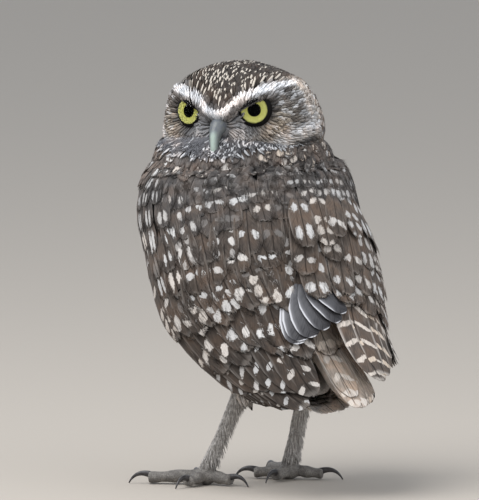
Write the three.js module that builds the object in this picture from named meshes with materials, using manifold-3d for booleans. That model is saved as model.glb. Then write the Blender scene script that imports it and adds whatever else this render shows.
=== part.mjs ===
// A burrowing owl at life size, standing on both feet and looking back over its left shoulder.
// Millimetres, +Z up. The breast faces -Y and the bird's left side is +X. The origin lies on the
// floor under the middle of the bird's box.
import * as THREE from "three";
import { mergeVertices } from "three/addons/utils/BufferGeometryUtils.js";
import Module from "manifold-3d";

const wasm = await Module();
wasm.setup();

const { Vector3 } = THREE;
const rad = THREE.MathUtils.degToRad;
const { lerp, smoothstep } = THREE.MathUtils;

// Driving sizes
const partGap = 0.3; // air between two neighbouring pieces
const vaneThickness = 0.6;
const headTurn = rad(125.5); // from the breast's direction round to the bird's left
const headPitch = rad(4); // nose down
const headRoll = rad(2.8); // left side up
const headCentre = new Vector3(1.5, -3, 186.5);
const crownHeight = 24.7;
const faceDepth = 30;
const napeDepth = 35;
const headHalfWidth = 37;
const irisRadius = 6.9;
const eyeRadius = 10;
const eyeSpread = 17.6; // middle of the iris from the midline
const eyeForward = 24.8;
const eyeLevel = 4.2;
const eyeOutward = rad(20);
const eyeUpward = rad(9);
const lidThickness = 1.6;
const neckCutLevel = -18.5; // below the middle of the head, along its own axis
const neckBaseLevel = 155;
const ankle = { left: new Vector3(15, 20, 49), right: new Vector3(-20, 24, 49) };
const foot = { left: new Vector3(24, 0, 8), right: new Vector3(-24, 2, 8) };
const clawLength = 11;
const seed = 11;

const colours = {
  plumage: 0x5f5348,
  wing: 0x5a4c40,
  tail: 0x5e4b3c,
  face: 0x8a8278,
  eye: 0xc9c235,
  bill: 0xa3ab9c,
  leg: 0xa79f94,
  toe: 0x857a6a,
  claw: 0x2b2b2e,
};
const finish = (color, roughness = 0.9) => new THREE.MeshStandardMaterial({ color, roughness, metalness: 0 });
const materials = {
  plumage: finish(colours.plumage),
  wing: finish(colours.wing),
  tail: finish(colours.tail),
  face: finish(colours.face),
  eye: finish(colours.eye, 0.1),
  bill: finish(colours.bill, 0.4),
  leg: finish(colours.leg),
  toe: finish(colours.toe),
  claw: finish(colours.claw, 0.35),
};

// Turning geometry into solids and back

const solidOf = (geometry) => {
  const bare = geometry.clone();
  bare.deleteAttribute("normal");
  bare.deleteAttribute("uv");
  const merged = mergeVertices(bare, 1e-4);
  const mesh = new wasm.Mesh({
    numProp: 3,
    vertProperties: new Float32Array(merged.attributes.position.array),
    triVerts: new Uint32Array(merged.index.array),
  });
  const made = new wasm.Manifold(mesh);
  if (made.volume() > 0) return made;
  const turned = new Uint32Array(merged.index.array);
  for (let i = 0; i < turned.length; i += 3) [turned[i + 1], turned[i + 2]] = [turned[i + 2], turned[i + 1]];
  return new wasm.Manifold(
    new wasm.Mesh({ numProp: 3, vertProperties: mesh.vertProperties, triVerts: turned }),
  );
};

const fromGrid = (points, triangles) => {
  const geometry = new THREE.BufferGeometry().setFromPoints(points);
  geometry.setIndex(triangles);
  return solidOf(geometry);
};

// A closed body through rings of the same number of points, with both ends closed by a fan.
const loft = (rings) => {
  const count = rings[0].length;
  const points = rings.flat();
  const triangles = [];
  for (let i = 0; i + 1 < rings.length; i += 1) {
    for (let j = 0; j < count; j += 1) {
      const a = i * count + j;
      const b = i * count + ((j + 1) % count);
      triangles.push(a, b, b + count, a, b + count, a + count);
    }
  }
  const close = (ring, first, turned) => {
    const middle = ring.reduce((sum, p) => sum.add(p), new Vector3()).divideScalar(count);
    points.push(middle);
    for (let j = 0; j < count; j += 1) {
      const pair = [first + j, first + ((j + 1) % count)];
      if (turned) pair.reverse();
      triangles.push(points.length - 1, pair[1], pair[0]);
    }
  };
  close(rings[0], 0, false);
  close(rings.at(-1), (rings.length - 1) * count, true);
  return fromGrid(points, triangles);
};

// A thin closed plate between two grids of points, split into triangles alike on both faces.
const plate = (front, back) => {
  const rows = front.length;
  const columns = front[0].length;
  const points = [...front.flat(), ...back.flat()];
  const other = rows * columns;
  const triangles = [];
  const at = (i, j) => i * columns + j;
  for (let i = 0; i + 1 < rows; i += 1) {
    for (let j = 0; j + 1 < columns; j += 1) {
      const [a, b, c, d] = [at(i, j), at(i, j + 1), at(i + 1, j + 1), at(i + 1, j)];
      triangles.push(a, b, c, a, c, d);
      triangles.push(other + a, other + c, other + b, other + a, other + d, other + c);
    }
  }
  const rim = [];
  for (let j = 0; j + 1 < columns; j += 1) rim.push([at(0, j), at(0, j + 1)]);
  for (let i = 0; i + 1 < rows; i += 1) rim.push([at(i, columns - 1), at(i + 1, columns - 1)]);
  for (let j = columns - 1; j > 0; j -= 1) rim.push([at(rows - 1, j), at(rows - 1, j - 1)]);
  for (let i = rows - 1; i > 0; i -= 1) rim.push([at(i, 0), at(i - 1, 0)]);
  rim.forEach(([a, b]) => triangles.push(b, a, other + a, b, other + a, other + b));
  return fromGrid(points, triangles);
};

// A round body along a curve. Its radii across and up may differ, and `up` steadies its section.
const limb = (curve, radiusAt, { steps = 8, sides = 10, up = new Vector3(0, 0, 1) } = {}) => {
  const rings = [];
  for (let i = 0; i <= steps; i += 1) {
    const t = i / steps;
    const centre = curve.getPoint(t);
    const along = curve.getTangent(t);
    const across = new Vector3().crossVectors(along, up).normalize();
    const lift = new Vector3().crossVectors(across, along).normalize();
    const { wide, tall } = radiusAt(t);
    rings.push(
      Array.from({ length: sides }, (_, j) => {
        const turn = (2 * Math.PI * j) / sides;
        return centre
          .clone()
          .addScaledVector(across, wide * Math.cos(turn))
          .addScaledVector(lift, tall * Math.sin(turn));
      }),
    );
  }
  return loft(rings);
};

const join = (solids) => wasm.Manifold.union(solids);
const largest = (solid) => solid.decompose().sort((a, b) => b.volume() - a.volume())[0];
// The two sides of a plane, each half a gap away from it.
const above = (solid, normal, point) => {
  const n = normal.clone().normalize();
  return solid.trimByPlane(n.toArray(), n.dot(point) + partGap / 2);
};
const below = (solid, normal, point) => above(solid, normal.clone().negate(), point);

// The body's own coordinates: a place along the back's line, from 0 at the neck to 11 at the tail's
// tip, an angle round it from 0 at the back to 90 degrees at the bird's left, and a height over it.

const stations = [
  { y: -3, z: 172, half: 43, back: 36, front: 35 }, // throat
  { y: -4, z: 157, half: 48.5, back: 39.5, front: 39 }, // base of the neck
  { y: -1, z: 141, half: 51, back: 41, front: 43 }, // shoulders
  { y: 5, z: 125, half: 52, back: 41, front: 47 }, // breast
  { y: 13, z: 109, half: 54, back: 40, front: 48 },
  { y: 22, z: 93, half: 53, back: 37, front: 45 }, // belly
  { y: 33, z: 79, half: 46, back: 31, front: 36 },
  { y: 45, z: 67, half: 34, back: 23, front: 23 }, // rump
  { y: 58, z: 58, half: 20, back: 14, front: 12 }, // vent
  { y: 71, z: 51, half: 14, back: 8, front: 8 },
  { y: 84, z: 45, half: 10, back: 5, front: 5 },
  { y: 97, z: 40, half: 8, back: 4, front: 4 }, // tip of the tail
];
const lastStation = stations.length - 1;
// The folded wings lie over the body on a cape that stays wide as far as their tips.
const cape = [
  { half: 43.5, back: 36.5 },
  { half: 49, back: 40 },
  { half: 51.5, back: 41.5 },
  { half: 52.5, back: 41.5 },
  { half: 54.5, back: 40.5 },
  { half: 54, back: 38 },
  { half: 50, back: 34 },
  { half: 45, back: 30 },
  { half: 40, back: 25.5 },
  { half: 35, back: 20 },
  { half: 29, back: 14 },
  { half: 22, back: 8 },
];
const backLine = new THREE.CatmullRomCurve3(stations.map((s) => new Vector3(0, s.y, s.z)));
const girth = new THREE.CatmullRomCurve3(stations.map((s) => new Vector3(s.half, s.back, s.front)));
const capeGirth = new THREE.CatmullRomCurve3(
  cape.map((c, i) => new Vector3(c.half, c.back, stations[i].front)),
);
const sideways = new Vector3(1, 0, 0);

const onBody = (station, around, height = 0, shape = girth) => {
  const t = THREE.MathUtils.clamp(station / lastStation, 0, 1);
  const centre = backLine.getPoint(t);
  const along = backLine.getTangent(t);
  const dorsal = new Vector3(0, -along.z, along.y);
  const size = shape.getPoint(t);
  const depth = Math.cos(around) > 0 ? size.y : size.z;
  const outward = new Vector3()
    .addScaledVector(sideways, Math.sin(around) / size.x)
    .addScaledVector(dorsal, Math.cos(around) / depth)
    .normalize();
  return centre
    .addScaledVector(sideways, size.x * Math.sin(around))
    .addScaledVector(dorsal, depth * Math.cos(around))
    .addScaledVector(outward, height);
};

// Torso and neck, one smooth body parted by a plane

const bodyRings = { count: 18, sides: 26, end: 9, roundFrom: 7 };
const bodyLoft = (grown) => {
  const rings = [];
  for (let i = 0; i <= bodyRings.count; i += 1) {
    const share = i / bodyRings.count;
    const station = lerp(0, bodyRings.end, share);
    const late = Math.max(0, (station - bodyRings.roundFrom) / (bodyRings.end - bodyRings.roundFrom));
    const keep = Math.max(0.06, Math.sqrt(1 - late * late));
    const centre = backLine.getPoint(station / lastStation);
    rings.push(
      Array.from({ length: bodyRings.sides }, (_, j) => {
        const around = (2 * Math.PI * j) / bodyRings.sides;
        return onBody(station, around, grown).sub(centre).multiplyScalar(keep).add(centre);
      }),
    );
  }
  return loft(rings);
};

const up = new Vector3(0, 0, 1);
const neckBase = new Vector3(0, 0, neckBaseLevel);

// Head, in its own directions: forward along the bill, left, and up

const faceward = new Vector3(Math.sin(headTurn), -Math.cos(headTurn), 0);
const headAxes = (() => {
  const left = new Vector3().crossVectors(up, faceward);
  const forward = faceward.clone().multiplyScalar(Math.cos(headPitch)).addScaledVector(up, -Math.sin(headPitch));
  const top = new Vector3().crossVectors(forward, left);
  left.applyAxisAngle(forward, headRoll);
  top.applyAxisAngle(forward, headRoll);
  return { forward, left, top };
})();
const inHead = (forward, left, top) =>
  headCentre
    .clone()
    .addScaledVector(headAxes.forward, forward)
    .addScaledVector(headAxes.left, left)
    .addScaledVector(headAxes.top, top);
const headDirection = (forward, left, top) => inHead(forward, left, top).sub(headCentre).normalize();

const bump = (distance, width) => Math.exp(-((distance / width) ** 2));
const browLine = { innerTop: 2, outerLeft: 34, outerTop: 16.5 };
// How far the face stands out from the plain shape of the head at a place on its front.
const faceRelief = (left, top) => {
  const side = Math.abs(left);
  const browTop = lerp(browLine.innerTop, browLine.outerTop, Math.min(1, side / browLine.outerLeft));
  const brow = 3 * bump(top - browTop, 3.4) * smoothstep(side, 1, 8) * (1 - smoothstep(side, 26, 36));
  const socket = -2.6 * bump(Math.hypot(side - eyeSpread, top - eyeLevel + 2), 8);
  const bridge = 2.6 * bump(side, 5.5) * smoothstep(top, -16, -4) * (1 - smoothstep(top, 3, 12));
  const cheek = 1.8 * bump(Math.hypot(side - 16, (top + 11) * 1.2), 8);
  const rim = 1.5 * bump(Math.hypot(left, (top + 3) * 1.15) - 32, 3) * (1 - smoothstep(top, -2, 10));
  return brow + socket + bridge + cheek + rim;
};
const headSurface = (direction) => {
  const low = direction.z < 0;
  const power = 2.1;
  const depth = direction.x > 0 ? faceDepth : napeDepth;
  const width = headHalfWidth + 3.5 * smoothstep(-direction.z, -0.25, 0.4);
  const height = low ? 46 : crownHeight;
  const reach =
    1 /
    (Math.abs(direction.x / depth) ** power +
      Math.abs(direction.y / width) ** power +
      Math.abs(direction.z / height) ** power) **
      (1 / power);
  const place = direction.clone().multiplyScalar(reach);
  const front = smoothstep(direction.x, 0.15, 0.6);
  return place.setX(place.x + front * faceRelief(place.y, place.z));
};

const headSolid = () => {
  const geometry = new THREE.SphereGeometry(1, 36, 24);
  const places = geometry.attributes.position;
  for (let i = 0; i < places.count; i += 1) {
    const v = new Vector3().fromBufferAttribute(places, i);
    // The sphere's pole looks forward, and its rings crowd together on the face.
    const polar = Math.PI * (Math.acos(THREE.MathUtils.clamp(v.y, -1, 1)) / Math.PI) ** 1.25;
    const round = Math.atan2(v.x, v.z);
    const direction = new Vector3(
      Math.cos(polar),
      Math.sin(polar) * Math.sin(round),
      Math.sin(polar) * Math.cos(round),
    );
    const at = Math.abs(v.y) > 0.99999 ? new Vector3(Math.sign(v.y), 0, 0) : direction;
    const p = headSurface(at);
    places.setXYZ(i, ...inHead(p.x, p.y, p.z).toArray());
  }
  return solidOf(geometry);
};

const eyeFrame = (side) => {
  const axis = headDirection(
    Math.cos(eyeOutward) * Math.cos(eyeUpward),
    side * Math.sin(eyeOutward) * Math.cos(eyeUpward),
    Math.sin(eyeUpward),
  );
  const iris = inHead(eyeForward, side * eyeSpread, eyeLevel);
  const depth = Math.sqrt(eyeRadius ** 2 - irisRadius ** 2);
  return { axis, iris, centre: iris.clone().addScaledVector(axis, -depth) };
};
const ball = (centre, radius, across = 16, rings = 10) =>
  solidOf(new THREE.SphereGeometry(radius, across, rings).translate(...centre.toArray()));
const rod = (from, to, radius, sides = 20) =>
  limb(new THREE.LineCurve3(from, to), () => ({ wide: radius, tall: radius }), { steps: 1, sides });

// The lids are a shell round the eyeball with a round opening, cut off above by the sloping brow.
const browSlope = rad(27);
const browClear = 3.6; // lowest point of the brow over the middle of the iris
const lidOpening = ({ centre, iris, axis }, side) => {
  const round = rod(centre, iris.clone().addScaledVector(axis, 20), irisRadius, 16);
  const slope = headAxes.top
    .clone()
    .multiplyScalar(Math.cos(browSlope))
    .addScaledVector(headAxes.left, -side * Math.sin(browSlope));
  return below(round, slope, iris.clone().addScaledVector(headAxes.top, browClear));
};

const cornea = { radius: 7.8, forward: 4 };
const eyeSolid = ({ centre, axis }, grown) =>
  join([
    ball(centre, eyeRadius + grown),
    ball(centre.clone().addScaledVector(axis, cornea.forward), cornea.radius + grown),
  ]);

// Bill: each half is lofted along its own curve in the head's middle plane.
const inProfile = (forward, top) => inHead(forward, 0, top);
const culmen = new THREE.CatmullRomCurve3([
  inProfile(24, -4),
  inProfile(31.2, -3.2),
  inProfile(34.8, -6),
  inProfile(36.4, -10.5),
  inProfile(37.2, -15.9),
]);
const lowerBillLine = new THREE.CatmullRomCurve3([
  inProfile(24, -10.5),
  inProfile(30, -11.2),
  inProfile(33.6, -13.4),
]);
const upperBillGirth = (extra) => (t) => {
  const keep = (1 - t) ** 0.55;
  return { wide: 0.35 + extra + 4.5 * keep, tall: 0.4 + extra + 4.9 * keep };
};
const lowerBillGirth = (extra) => (t) => {
  const keep = (1 - t) ** 0.6;
  return { wide: 0.4 + extra + 3.4 * keep, tall: 0.4 + extra + 2.2 * keep };
};
const upperBill = (extra) => limb(culmen, upperBillGirth(extra), { steps: 9, sides: 12, up: headAxes.top });
const lowerBill = (extra) =>
  limb(lowerBillLine, lowerBillGirth(extra), { steps: 5, sides: 10, up: headAxes.top });
const nostrils = () => [1, -1].map((side) => ball(inHead(33.2, side * 4.2, -1.6), 1.1, 8, 6));

// Vanes: one feather is a thin plate, deep at its root and lifted towards its tip

// Half the width of a vane along its length, as a share of its widest.
const vaneOutline = [
  { along: 0, wide: 0.6 },
  { along: 0.5, wide: 1 },
  { along: 0.88, wide: 0.86 },
  { along: 1, wide: 0.34 },
];
const vanePlate = ({ middle, outwardAt, width, roll, camber, thickness = vaneThickness }) => {
  const front = [];
  const back = [];
  vaneOutline.forEach(({ along, wide }, i) => {
    const here = middle(along);
    const heading = middle(Math.min(1, along + 0.02)).sub(middle(Math.max(0, along - 0.02))).normalize();
    const across = new Vector3().crossVectors(outwardAt(along), heading).normalize();
    const lift = new Vector3().crossVectors(heading, across).normalize();
    const half = (width / 2) * wide;
    const isTip = i === vaneOutline.length - 1;
    const rows = [[], []];
    [-1, 0, 1].forEach((u) => {
      const p = here
        .clone()
        .addScaledVector(across, half * u)
        .addScaledVector(heading, isTip && u !== 0 ? -0.04 * width : 0)
        .addScaledVector(lift, roll * u * wide - camber * (half * u) ** 2);
      rows[0].push(p.clone().addScaledVector(lift, thickness / 2));
      rows[1].push(p.clone().addScaledVector(lift, -thickness / 2));
    });
    front.push(rows[0]);
    back.push(rows[1]);
  });
  return plate(front, back);
};

// A vane that follows the body from one place to another.
const place = (station, around, height) => ({ station, around, height });
const between = (a, b, share) =>
  place(lerp(a.station, b.station, share), lerp(a.around, b.around, share), lerp(a.height, b.height, share));
const vane = ({ from, to, ...rest }) => {
  const at = (share, extra) => {
    const { station, around, height } = between(from, to, share);
    return onBody(station, rad(around), height + extra, capeGirth);
  };
  return vanePlate({
    middle: (share) => at(share, 0),
    outwardAt: (share) => at(share, 5).sub(at(share, 0)),
    camber: 0.01,
    ...rest,
  });
};
const mirror = (side, { station, around, height }) => place(station, side * around, height);

// A tier of vanes side by side, each one's outer edge lying over the next vane out.
const tierRoll = 0.8;
const jitter = (size) => (THREE.MathUtils.seededRandom() - 0.5) * size;
const tier = (side, { count, from, to, width }) =>
  Array.from({ length: count }, (_, k) => {
    const share = count > 1 ? k / (count - 1) : 0;
    const root = mirror(side, between(from[0], from[1], share));
    const tip = mirror(side, between(to[0], to[1], share));
    tip.station += jitter(0.22);
    tip.around += jitter(1.5);
    return vane({ from: root, to: tip, width: lerp(width[0], width[1], share), roll: -side * tierRoll });
  });

// Tiers run from a wing's outer edge to its inner one. The right wing hangs looser than the left.
const wingForms = {
  left: {
    side: 1,
    pad: 4.8,
    tiers: {
      primaries: {
        count: 6,
        from: [place(5, 92, 1.6), place(5.2, 58, 2.2)],
        to: [place(9.2, 86, 1), place(10.1, 36, 2.6)],
        width: [12, 13],
      },
      secondaries: {
        count: 7,
        from: [place(4.4, 96, 2.6), place(4.8, 24, 3)],
        to: [place(7.8, 88, 3.4), place(8.9, 25, 4.8)],
        width: [14, 15],
      },
      coverts: {
        count: 7,
        from: [place(3.3, 102, 3), place(3.6, 18, 3)],
        to: [place(5.7, 97, 5.6), place(6.5, 14, 5.6)],
        width: [15, 16],
      },
      scapulars: {
        count: 4,
        from: [place(1.9, 60, 3), place(2.1, 16, 2.6)],
        to: [place(4.3, 56, 6.2), place(4.9, 13, 5.6)],
        width: [16, 16],
      },
    },
  },
  right: {
    side: -1,
    pad: 5.4,
    tiers: {
      primaries: {
        count: 5,
        from: [place(5, 94, 3), place(5.3, 72, 4)],
        to: [place(7.7, 86, 6.5), place(8.5, 66, 12)],
        width: [10, 10],
      },
      secondaries: {
        count: 7,
        from: [place(4.4, 92, 4), place(4.8, 18, 4)],
        to: [place(8.9, 68, 7), place(10.1, 14, 6)],
        width: [15, 17],
      },
      coverts: {
        count: 7,
        from: [place(3.3, 102, 4), place(3.6, 18, 4)],
        to: [place(5.7, 94, 8.4), place(6.6, 16, 8.6)],
        width: [15, 16],
      },
      scapulars: {
        count: 4,
        from: [place(1.9, 60, 4), place(2.1, 16, 3)],
        to: [place(4.3, 56, 8.2), place(4.9, 14, 7.6)],
        width: [16, 16],
      },
    },
  },
};

// The wing's arm: a pad over the shoulder and flank, thick at the wrist and thin at its edges
const armPad = { top: 0.7, bottom: 6.2, inner: 10, outer: 118, rows: 10, columns: 7 };
const armSolid = (side, thickness) => {
  const front = [];
  const back = [];
  for (let i = 0; i <= armPad.rows; i += 1) {
    const down = i / armPad.rows;
    const station = lerp(armPad.top, armPad.bottom, down);
    const outer = armPad.outer - 22 * smoothstep(down, 0.35, 1) - 10 * (1 - smoothstep(down, 0, 0.3));
    const inner = armPad.inner + 26 * (1 - smoothstep(down, 0, 0.3));
    const frontRow = [];
    const backRow = [];
    for (let j = 0; j <= armPad.columns; j += 1) {
      const over = j / armPad.columns;
      const around = rad(side * lerp(inner, outer, over));
      const edge = Math.min(1, 4 * Math.min(over, 1 - over, down * 1.4, (1 - down) * 1.6 + 0.06));
      const wrist = 2.4 * bump(down - 0.22, 0.2) * bump(over - 0.85, 0.25);
      const height = 1 + (thickness + wrist - 1) * Math.sqrt(Math.max(0, edge * (2 - edge)));
      frontRow.push(onBody(station, around, height, capeGirth));
      backRow.push(onBody(station, around, 0.2, capeGirth));
    }
    front.push(frontRow);
    back.push(backRow);
  }
  return plate(front, back);
};

// Grey inner feathers of the right wing spread as a fan over the rump, the innermost lying on top.
const fan = {
  count: 5,
  from: [place(5, -11, 6.4), place(5, -18, 8.4)],
  to: [place(7.9, 26, 9), place(7, -17, 12.4)],
  width: 15,
};
const fanVanes = (extra) =>
  Array.from({ length: fan.count }, (_, k) => {
    const share = k / (fan.count - 1);
    return vane({
      from: between(fan.from[0], fan.from[1], share),
      to: between(fan.to[0], fan.to[1], share),
      width: fan.width + extra,
      roll: -tierRoll,
      thickness: vaneThickness + extra,
    });
  });

// Neither wing crosses the middle of the back, apart from the fan.
const wingPlain = ({ side, pad, tiers }) => {
  const vanes = Object.values(tiers).flatMap((form) => tier(side, form));
  return above(join([armSolid(side, pad), ...vanes]), sideways.clone().multiplyScalar(side), new Vector3());
};

// Tail: closed, its middle feathers on top

const tailRoot = new Vector3(0, 52, 97);
const tailTip = new Vector3(-3, 97.5, 48.5);
const tailLine = tailTip.clone().sub(tailRoot);
const tailAlong = tailLine.clone().normalize();
const tailUp = new Vector3(0, -tailAlong.z, tailAlong.y);
const tailForm = { pairs: 6, width: 13, turn: rad(1.1), step: 1.5, drop: 0.95, shorter: 1.3, sunk: 4 };
const tailSolid = () => {
  const feathers = [1, -1].flatMap((side) =>
    Array.from({ length: tailForm.pairs }, (_, k) => {
      const heading = tailAlong.clone().applyAxisAngle(tailUp, -side * tailForm.turn * (k + 0.5));
      const root = tailRoot
        .clone()
        .addScaledVector(sideways, side * tailForm.step * (k + 0.4) * 0.6)
        .addScaledVector(tailUp, -tailForm.sunk - tailForm.drop * (k + (side > 0 ? 0 : 0.5)));
      const length = tailLine.length() - tailForm.shorter * k;
      return vanePlate({
        middle: (share) => root.clone().addScaledVector(heading, share * length),
        outwardAt: () => tailUp,
        width: tailForm.width,
        roll: -side * 0.25,
        camber: 0.004,
      });
    }),
  );
  const core = limb(
    new THREE.LineCurve3(
      tailRoot.clone().addScaledVector(tailUp, -8),
      tailRoot.clone().addScaledVector(tailAlong, 26).addScaledVector(tailUp, -8.5),
    ),
    (t) => ({ wide: lerp(11, 8, t), tall: lerp(8, 3.4, t) }),
    { steps: 3, sides: 10, up },
  );
  return join([core, ...feathers]);
};

// Legs: a feathered shin, a shank and a foot of four toes

const hip = { left: new Vector3(18, 6, 78), right: new Vector3(-21, 8, 78) };
const shinSolid = (name) =>
  limb(
    new THREE.CatmullRomCurve3([hip[name], hip[name].clone().lerp(ankle[name], 0.5), ankle[name]]),
    (t) => ({ wide: lerp(13, 4.4, t ** 0.8), tall: lerp(13, 5, t ** 0.8) }),
    { steps: 5, sides: 12, up: sideways },
  );
const shankSolid = (name) =>
  limb(
    new THREE.CatmullRomCurve3([
      ankle[name].clone().add(new Vector3(0, 1, 3)),
      ankle[name].clone().lerp(foot[name], 0.5),
      foot[name].clone().add(new Vector3(0, 0, -1)),
    ]),
    (t) => ({ wide: 3.4 + 0.9 * bump(t - 1, 0.25) + 0.8 * bump(t, 0.3), tall: 4.1 + 0.6 * bump(t - 1, 0.3) }),
    { steps: 6, sides: 10, up: sideways },
  );

// Toes: heading in degrees from straight ahead towards the bird's left, length to the claw's root
const toes = {
  left: [
    { name: "hind", heading: 205, length: 15, radius: 3.2 },
    { name: "inner", heading: -18, length: 18, radius: 3.1 },
    { name: "middle", heading: 51, length: 29, radius: 3.3 },
    { name: "outer", heading: 112, length: 16, radius: 3.1 },
  ],
  right: [
    { name: "hind", heading: 118, length: 14, radius: 3.2 },
    { name: "inner", heading: 48, length: 18, radius: 3.1 },
    { name: "middle", heading: -12, length: 25, radius: 3.3 },
    { name: "outer", heading: -132, length: 17, radius: 3.1 },
  ],
};
const toeHeading = (toe) => new Vector3(Math.sin(rad(toe.heading)), -Math.cos(rad(toe.heading)), 0);
const toeCurve = (name, toe) => {
  const base = foot[name].clone().setZ(5.2);
  const heading = toeHeading(toe);
  const knuckle = base.clone().addScaledVector(heading, toe.length * 0.5).setZ(toe.radius + 0.8);
  const end = base.clone().addScaledVector(heading, toe.length).setZ(toe.radius - 0.1);
  return new THREE.CatmullRomCurve3([base, knuckle, end]);
};
const toeSolid = (name, toe) =>
  limb(
    toeCurve(name, toe),
    (t) => {
      const knuckle = Math.cos(t * 4 * Math.PI);
      return { wide: toe.radius + 0.3 + 0.35 * knuckle, tall: toe.radius + 0.1 + 0.3 * knuckle - 0.4 * t };
    },
    { steps: 6, sides: 8 },
  );
const clawCurve = (name, toe) => {
  const heading = toeHeading(toe);
  const start = toeCurve(name, toe).getPoint(1).addScaledVector(heading, -2).setZ(toe.radius + 0.9);
  return new THREE.QuadraticBezierCurve3(
    start,
    start.clone().addScaledVector(heading, clawLength * 0.75).add(new Vector3(0, 0, 3.4)),
    start.clone().addScaledVector(heading, clawLength + 1).setZ(0.35),
  );
};
const clawSolid = (name, toe, grown = 0) =>
  limb(
    clawCurve(name, toe),
    (t) => ({ wide: grown + lerp(1.5, 0.3, t ** 0.9), tall: grown + lerp(1.9, 0.32, t ** 0.9) }),
    { steps: 6, sides: 8 },
  );
const footSolid = (name) => {
  const pad = ball(foot[name].clone().setZ(4.6), 5.4, 10, 7);
  const whole = join([pad, shankSolid(name), ...toes[name].map((toe) => toeSolid(name, toe))]);
  return above(whole, up, new Vector3(0, 0, -partGap / 2));
};

// Assembly

const owl = new THREE.Group();
const add = (name, solid, material) => {
  const { vertProperties, triVerts, numProp } = solid.getMesh();
  const count = vertProperties.length / numProp;
  const places = new Float32Array(count * 3);
  for (let i = 0; i < count; i += 1) {
    places.set(vertProperties.subarray(i * numProp, i * numProp + 3), i * 3);
  }
  const geometry = new THREE.BufferGeometry();
  geometry.setAttribute("position", new THREE.BufferAttribute(places, 3));
  geometry.setIndex(new THREE.BufferAttribute(new Uint32Array(triVerts), 1));
  geometry.computeVertexNormals();
  const mesh = new THREE.Mesh(geometry, material);
  mesh.name = name;
  owl.add(mesh);
};

THREE.MathUtils.seededRandom(seed);

const body = bodyLoft(0);
const bodyGrown = bodyLoft(partGap);
const neckCut = inHead(0, 0, neckCutLevel);
add("torso", below(body, up, neckBase), materials.plumage);
add("neck", largest(below(above(body, up, neckBase), headAxes.top, neckCut)), materials.plumage);

const eyes = [
  { name: "eye_left", side: 1 },
  { name: "eye_right", side: -1 },
].map((eye) => ({ ...eye, ...eyeFrame(eye.side) }));
const lids = eyes.map(({ centre }) => ball(centre, eyeRadius + lidThickness));
const openings = eyes.map((eye) => lidOpening(eye, eye.side));
const sockets = eyes.map((eye) => eyeSolid(eye, partGap));
const billSeat = [upperBill(partGap), lowerBill(partGap)];
const headWhole = above(join([headSolid(), ...lids]), headAxes.top, neckCut);
add("head", largest(headWhole.subtract(join([...openings, ...sockets, ...billSeat]))), materials.face);
eyes.forEach((eye) => add(eye.name, eyeSolid(eye, 0), materials.eye));
add("bill_upper", largest(upperBill(0).subtract(join(nostrils()))), materials.bill);
add("bill_lower", largest(lowerBill(0).subtract(upperBill(partGap))), materials.bill);

const tailWhole = tailSolid();
const fanRoom = join(fanVanes(2 * partGap));
const wingRoom = join([bodyGrown, fanRoom]);
const wingLeft = largest(wingPlain(wingForms.left).subtract(wingRoom));
const wingRight = largest(join([wingPlain(wingForms.right), ...fanVanes(0)]).subtract(bodyGrown));
add("wing_left", wingLeft, materials.wing);
add("wing_right", wingRight, materials.wing);
add("tail", largest(tailWhole.subtract(bodyGrown)), materials.tail);

["left", "right"].forEach((name) => {
  const legLine = foot[name].clone().sub(ankle[name]).normalize();
  const ankleCut = ankle[name].clone().addScaledVector(legLine, 1);
  const footCut = foot[name].clone().addScaledVector(legLine, -6);
  const shin = below(shinSolid(name), legLine, ankleCut);
  const lowerLeg = above(footSolid(name), legLine, ankleCut);
  const clawRoom = join(toes[name].map((toe) => clawSolid(name, toe, partGap)));
  add(`shin_${name}`, largest(shin.subtract(bodyGrown)), materials.leg);
  add(`shank_${name}`, largest(below(lowerLeg, legLine, footCut)), materials.leg);
  add(`foot_${name}`, largest(above(lowerLeg, legLine, footCut).subtract(clawRoom)), materials.toe);
  toes[name].forEach((toe) => add(`claw_${name}_${toe.name}`, clawSolid(name, toe), materials.claw));
});

// The origin goes to the floor under the middle of the box.
const box = new THREE.Box3().setFromObject(owl);
owl.children.forEach((mesh) => {
  mesh.geometry.translate(-(box.min.x + box.max.x) / 2, -(box.min.y + box.max.y) / 2, -box.min.z);
});

export default owl;
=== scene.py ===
import math

import bmesh
import bpy
import numpy as np
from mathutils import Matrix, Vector


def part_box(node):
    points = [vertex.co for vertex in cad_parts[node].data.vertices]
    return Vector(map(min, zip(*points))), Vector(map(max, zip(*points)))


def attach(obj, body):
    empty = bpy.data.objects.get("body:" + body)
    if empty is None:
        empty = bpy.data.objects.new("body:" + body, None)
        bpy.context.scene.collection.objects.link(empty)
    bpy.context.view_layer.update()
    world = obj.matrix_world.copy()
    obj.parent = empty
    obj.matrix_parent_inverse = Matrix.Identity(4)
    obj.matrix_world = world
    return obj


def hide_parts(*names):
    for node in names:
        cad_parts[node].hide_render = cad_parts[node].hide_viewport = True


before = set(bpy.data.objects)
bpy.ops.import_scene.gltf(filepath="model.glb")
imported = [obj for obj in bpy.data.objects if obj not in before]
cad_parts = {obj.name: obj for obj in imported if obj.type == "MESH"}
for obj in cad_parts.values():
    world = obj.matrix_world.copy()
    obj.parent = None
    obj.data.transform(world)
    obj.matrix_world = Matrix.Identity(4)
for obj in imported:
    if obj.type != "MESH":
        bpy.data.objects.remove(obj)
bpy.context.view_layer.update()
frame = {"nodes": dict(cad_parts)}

rng = np.random.default_rng(4)

# Sizes are in millimetres in the bird's own frame: +Z up, the breast faces -Y, the bird's left is +X.
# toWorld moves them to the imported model's origin and to metres.


def unit(v):
    return v / np.maximum(np.linalg.norm(v, axis=-1, keepdims=True), 1e-9)


def mix(a, b, share):
    return a + (b - a) * share


def ramp(x, low, high):
    t = np.clip((x - low) / (high - low), 0, 1)
    return t * t * (3 - 2 * t)


def bump(distance, width):
    return np.exp(-((distance / width) ** 2))


def dot(a, b):
    return np.sum(a * b, axis=-1, keepdims=True)


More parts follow.
